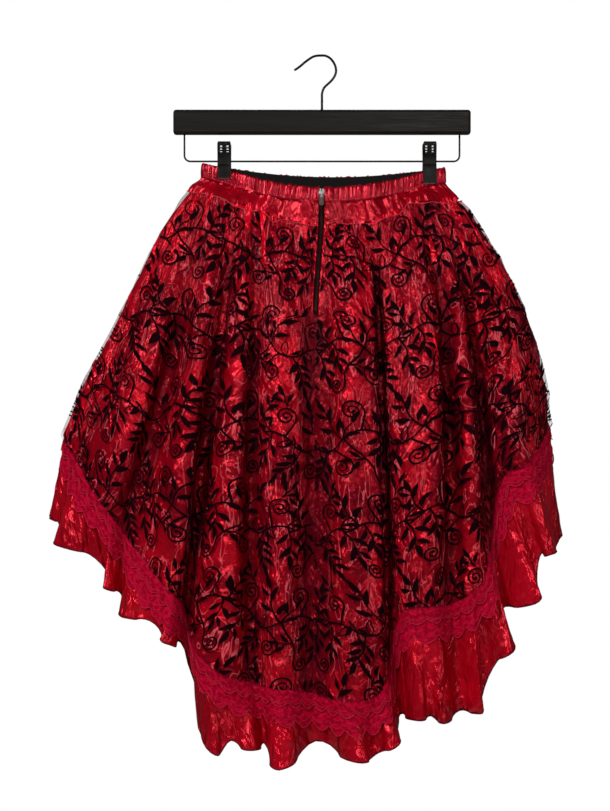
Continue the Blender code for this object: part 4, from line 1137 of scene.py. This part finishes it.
def build_lace(skirt, upper_finish, lower_finish, cord_finish):
    """Two scalloped tiers of lace. Each hangs from under the overlay's edge."""
    # tier, lift, lift at its top, drop, scallop's width and depth, finish
    tiers = [
        ("lower", 2.0, 0.7, 46.0, 26.0, 9.0, lower_finish),
        ("upper", 3.5, 1.6, 24.0, 19.0, 6.5, upper_finish),
    ]
    for tier, lift, top_lift, drop, scallop, depth, finish in tiers:
        along = travel(skirt.ruffle_ring(skirt.ruffle_share(drop)))
        wave, picot = (np.abs(np.sin(np.pi * along / width)) for width in (scallop, PICOT))
        foot = skirt.ruffle_share(drop - depth + depth * wave + 0.9 * picot)
        form, normals = skirt.ruffle_grid(steps(skirt.ruffle_share(LACE_TOP), foot, LACE_ROWS))
        across, down = cloth_map(form)
        rise = np.clip(down / 8.0, 0.0, 1.0)
        ripple = 0.7 * (noise(across, 0.4 * down, 6.0, 20.0, 71) - 0.5)
        ripple += 0.9 * (noise(across, down, 17.0, 26.0, 77) - 0.5)
        points = form + normals * (top_lift + (lift - top_lift) * rise + ripple * rise)[..., None]
        for length, own, out in skirt.lengths(points, normals):
            name = f"lace_{tier}_{length}"
            obj = finish_piece(sheet_object(f"{name}_net", own, finish, *cloth_map(own)), [name])
            cords = [tube(f"{name}_cord", own[-1] + 0.2 * out[-1], 0.5, cord_finish),
                     tube(f"{name}_inner_cord", own[-3] + 0.35 * out[-3], 0.35, cord_finish)]
            for cord in cords:
                finish_piece(cord, [])


# Zip

def build_zip(skirt, tape_finish, tooth_finish):
    """Tapes inside the slit, and two rows of teeth that meet in the middle."""
    column = skirt.column(CENTRE_BACK)
    reach = int(round(TAPE_SHARE * skirt.fine)) + 1
    points, normals = skirt.grid(np.linspace(ZIP_TOP_LEVEL, ZIP_END_LEVEL, ZIP_ROWS))
    for side, start, gaps in (("left", column - reach, (0.0, 0.4)), ("right", column, (0.4, 0.0))):
        own, out = (columns_of(grid, start, start + reach) for grid in (points, normals))
        own = draw_back(own + out * TAPE_LIFT, gaps, reach=3)
        obj = wall_object(f"tape_{side}", own, out, TAPE_THICKNESS, tape_finish, *cloth_map(own))
        finish_piece(obj, [f"zip_tape_{side}"])
    line = points[:, column]
    along = travel(line)
    shape = bmesh.new()
    for number in range(2 * int((along[-1] - 4.0) / TOOTH_PITCH)):
        d = 2.0 + number * TOOTH_PITCH / 2
        origin, ahead = (np.array([np.interp(at, along, part) for part in line.T]) for at in (d, d + 1.0))
        down = unit(ahead - origin)
        across = unit(np.array([1.0, 0.0, 0.0]) - down * down[0])
        out = unit(np.cross(down, across))
        out = -out if out[1] > 0 else out
        side = 1.0 if number % 2 else -1.0
        for vert in bmesh.ops.create_cube(shape, size=1.0)["verts"]:
            a, b, c = vert.co
            taper = 1.0 - 0.3 * (0.5 - side * a)
            place = (origin + across * (side * 0.6 + a * 1.9) + down * b * TOOTH_PITCH * 0.62 * taper
                     + out * (CHAIN_LIFT + c * 1.3 * taper))
            vert.co = Vector(place * MM)
    bmesh.ops.bevel(shape, geom=shape.edges[:], offset=0.12 * MM, segments=1, affect="EDGES")
    finish_piece(shape_object("teeth", shape, tooth_finish), ["zip_teeth"])


# Hanger

def build_hanger(hook_finish, rod_finish):
    route = open_spline([(0.0, BAR_TOP + SEAT_GAP), *HOOK_POINTS], 1.0)
    radius = np.full(len(route), WIRE_RADIUS * HOOK_PLATING)
    radius[-2:] *= [0.94, 0.72]
    hook = tube("hook_wire", np.insert(route, 1, 0.0, axis=1), radius, hook_finish, sides=16)
    finish_piece(hook, ["hanger_hook"])
    centre_x, centre_z = ROD_HALF_LENGTH - ROD_BEND, ROD_Z + ROD_BEND
    right = [(ROD_HALF_LENGTH, BAR_FOOT - SEAT_GAP), (ROD_HALF_LENGTH, ROD_BEND_TOP)]
    right += [(centre_x + ROD_BEND * math.cos(a), centre_z - ROD_BEND * math.sin(a))
              for a in np.linspace(0.0, math.pi / 2, 9)]
    middle = [(x, ROD_Z) for x in np.linspace(120.0, -120.0, 25)]
    route = [*right, *middle, *((-x, z) for x, z in reversed(right))]
    rod = tube("rod_wire", [(x, 0.0, z) for x, z in route], ROD_RADIUS, rod_finish, sides=14)
    finish_piece(rod, ["hanger_rod"])


def clip_path(foot):
    """The middle line of a clip plate, in y and z, from the handle's top down to the foot."""
    rod_y = CLIP_SPRING_RADIUS + SEAT_GAP
    inner = [(7.0, CLIP_TOP), (6.4, -106.0), (5.0, -113.5), (rod_y, ROD_Z + 3.0), (rod_y, ROD_Z - 4.0),
             (CLIP_GRIP, ROD_Z - 8.0), (CLIP_GRIP, foot)]
    return open_spline([(y + PLATE_HALF, z) for y, z in inner], 1.0)


def build_clip_plate(name, x, foot, sign, finish, node):
    """A pressed plate: rounded corners, a handle with two columns of four holes, and a stiffening rib."""
    path = clip_path(foot)
    along = travel(path)
    half = CLIP_WIDTH / 2
    columns = np.array([-half, -half + 0.7, -5.4, -2.2, -0.8, 0.8, 2.2, 5.4, half - 0.7, half])
    rib = 0.5 * np.exp(-((abs(columns) - 6.4) / 0.7) ** 2)
    shape = bmesh.new()
    verts = []
    for (y, z), d in zip(path, along):
        narrow = 1.0 - 0.16 * max(0.0, 1.0 - d / 3.0) ** 2
        verts.append([shape.verts.new(Vector((x + c * narrow, sign * (y + rise), z)) * MM)
                      for c, rise in zip(columns, rib)])
    for i in range(len(path) - 1):
        d = (along[i] + along[i + 1]) / 2
        in_hole_row = 2.0 < d < 15.2 and (d - 2.0) % 3.3 < 2.0
        for j in range(len(columns) - 1):
            if not (in_hole_row and j in (2, 6)):
                shape.faces.new((verts[i][j], verts[i + 1][j], verts[i + 1][j + 1], verts[i][j + 1]))
    bmesh.ops.recalc_face_normals(shape, faces=shape.faces)
    obj = shape_object(name, shape, finish)
    solid = obj.modifiers.new("thickness", "SOLIDIFY")
    solid.thickness = PLATE_THICKNESS * MM
    solid.offset = 0.0
    bevel = obj.modifiers.new("edges", "BEVEL")
    bevel.width = 0.3 * MM
    bevel.segments = 2
    bevel.limit_method = "ANGLE"
    finish_piece(obj, [node])


def build_clips(plate_finish, steel):
    for side, x, foot in CLIPS:
        for face, sign in (("front", -1.0), ("back", 1.0)):
            build_clip_plate(f"plate_{face}_{side}", x, foot, sign, plate_finish, f"clip_{face}_{side}")
            lip = [(x + dx, sign * (CLIP_GRIP + PLATE_HALF), foot + 0.2)
                   for dx in np.linspace(-CLIP_WIDTH / 2 + 0.6, CLIP_WIDTH / 2 - 0.6, 9)]
            finish_piece(tube(f"lip_{face}_{side}", lip, 0.8, steel, sides=8), [])
        angles = np.linspace(0.0, 2 * math.pi * COIL_TURNS, 24 * COIL_TURNS)
        along = np.linspace(1.6 - CLIP_WIDTH / 2, CLIP_WIDTH / 2 - 1.6, len(angles))
        y, z = COIL_RADIUS * np.cos(angles), COIL_RADIUS * np.sin(angles)
        line = np.stack([x + along, y, ROD_Z + z], axis=1)
        finish_piece(tube(f"coil_{side}", line, COIL_WIRE, steel), [f"clip_spring_{side}"])


# Studio, in metres

CAMERA_PLACE = (-0.020, -2.0, -0.411)
VIEW_HALF_WIDTH = 0.3593
BACKDROP_LIGHT = 0.06
# name, place, aim, size, watts, colour
LAMPS = [
    ("key", (-1.0, -1.5, 0.75), (0.0, 0.0, -0.45), 0.3, 34.0, (1.0, 0.98, 0.96)),
    ("front", (0.35, -2.1, 0.2), (0.0, 0.0, -0.45), 0.12, 12.0, (1.0, 0.99, 0.98)),
    ("fill", (1.5, -0.9, -0.2), (0.0, 0.0, -0.5), 0.4, 5.0, (0.98, 0.99, 1.0)),
    ("rim", (0.3, 1.6, 0.5), (0.0, 0.0, -0.4), 0.9, 12.0, (1.0, 1.0, 1.0)),
]
FLOOR_RADIUS, FLOOR_Z = 1.9, -1.5


def build_studio():
    scene = bpy.context.scene
    scene.view_settings.view_transform = "Standard"

    def stand(name, data, place):
        obj = bpy.data.objects.new(name, data)
        scene.collection.objects.link(obj)
        obj.location = place
        return obj

    scene.camera = stand("camera", bpy.data.cameras.new("camera"), CAMERA_PLACE)
    scene.camera.rotation_euler = (math.radians(90), 0.0, 0.0)
    scene.camera.data.sensor_fit = "HORIZONTAL"
    scene.camera.data.angle = 2 * math.atan(VIEW_HALF_WIDTH / -CAMERA_PLACE[1])
    # The backdrop is white to the camera and dim to the skirt, so that the lamps shape the light
    scene.world = bpy.data.worlds.new("studio")
    scene.world.use_nodes = True
    tree = scene.world.node_tree
    background = tree.nodes["Background"]
    background.inputs["Color"].default_value = (1.0, 1.0, 1.0, 1.0)
    seen = tree.nodes.new("ShaderNodeLightPath")
    strength = tree.nodes.new("ShaderNodeMapRange")
    strength.inputs["To Min"].default_value = BACKDROP_LIGHT
    strength.inputs["To Max"].default_value = 1.0
    tree.links.new(seen.outputs["Is Camera Ray"], strength.inputs["Value"])
    tree.links.new(strength.outputs["Result"], background.inputs["Strength"])
    for name, place, aim, size, power, colour in LAMPS:
        light = bpy.data.lights.new(name, "AREA")
        light.size, light.energy, light.color = size, power, colour
        lamp = stand(name, light, place)
        lamp.rotation_euler = (Vector(aim) - Vector(place)).to_track_quat("-Z", "Y").to_euler()
    shape = bmesh.new()
    bmesh.ops.create_circle(shape, cap_ends=True, segments=96, radius=FLOOR_RADIUS)
    floor = shape_object("floor", shape, Finish("floor").set(base_color=(0.82, 0.81, 0.8), roughness=0.7))
    floor.location = (0.0, 0.0, FLOOR_Z)


def main():
    skirt = Skirt(FINE)
    # The underskirt's satin takes painted shade deep in its folds
    satin = satin_finish("crushed_satin", (0.4, 0.0, 0.008), (0.85, 0.004, 0.02), painted_fold_shade=True)
    yoke_satin = satin_finish("yoke_satin", (0.2, 0.0, 0.005), (0.42, 0.0, 0.01), 0.4)
    ruffle_satin = satin_finish("ruffle_satin", (0.3, 0.0, 0.007), (0.6, 0.002, 0.016), grain=0.7)
    band = satin_finish("casing_satin", (0.2, 0.0, 0.006), (0.4, 0.002, 0.016), 0.12)
    thread = thread_finish("thread", (0.75, 0.05, 0.09))
    metal = metal_finish("zip_nickel", (0.62, 0.6, 0.6), 0.25)
    build_studio()
    build_satin(skirt, satin, yoke_satin)
    build_overlay(skirt, organza_finish("organza_net"), flock_finish(), thread)
    build_waistband(skirt, band, woven_finish("black_weave", (0.005, 0.004, 0.004)), thread)
    build_ruffle(skirt, ruffle_satin, thread_finish("rolled_hem", (0.16, 0.0, 0.012)))
    build_lace(Skirt(FINE_LACE), lace_finish("lace_upper_net", (0.29, 0.0, 0.015), 0.45),
               lace_finish("lace_lower_net", (0.33, 0.0, 0.017), 0.45),
               thread_finish("lace_cord", (0.75, 0.015, 0.06)))
    build_zip(skirt, woven_finish("tape_weave", (0.035, 0.001, 0.004)),
              metal_finish("zip_teeth_metal", (0.03, 0.014, 0.012), 0.4))
    build_hanger(metal_finish("dark_hook", (0.016, 0.014, 0.013), 0.35),
                 metal_finish("dark_rod", (0.025, 0.023, 0.021), 0.4))
    build_clips(plastic_finish("clip_black", (0.004, 0.0038, 0.0034), 0.4),
                metal_finish("spring_steel", (0.42, 0.41, 0.4), 0.3))
    aged = metal_finish("aged_pull", (0.08, 0.06, 0.055), 0.35)
    # These keep their CAD solid and take a finish
    for node, finish in (("hanger_bar", wood_finish()), ("zip_slider", metal), ("zip_pull", aged),
                         ("zip_stop_left", metal), ("zip_stop_right", metal)):
        materials = bpy.data.objects[node].data.materials
        materials.clear()
        materials.append(finish)


main()
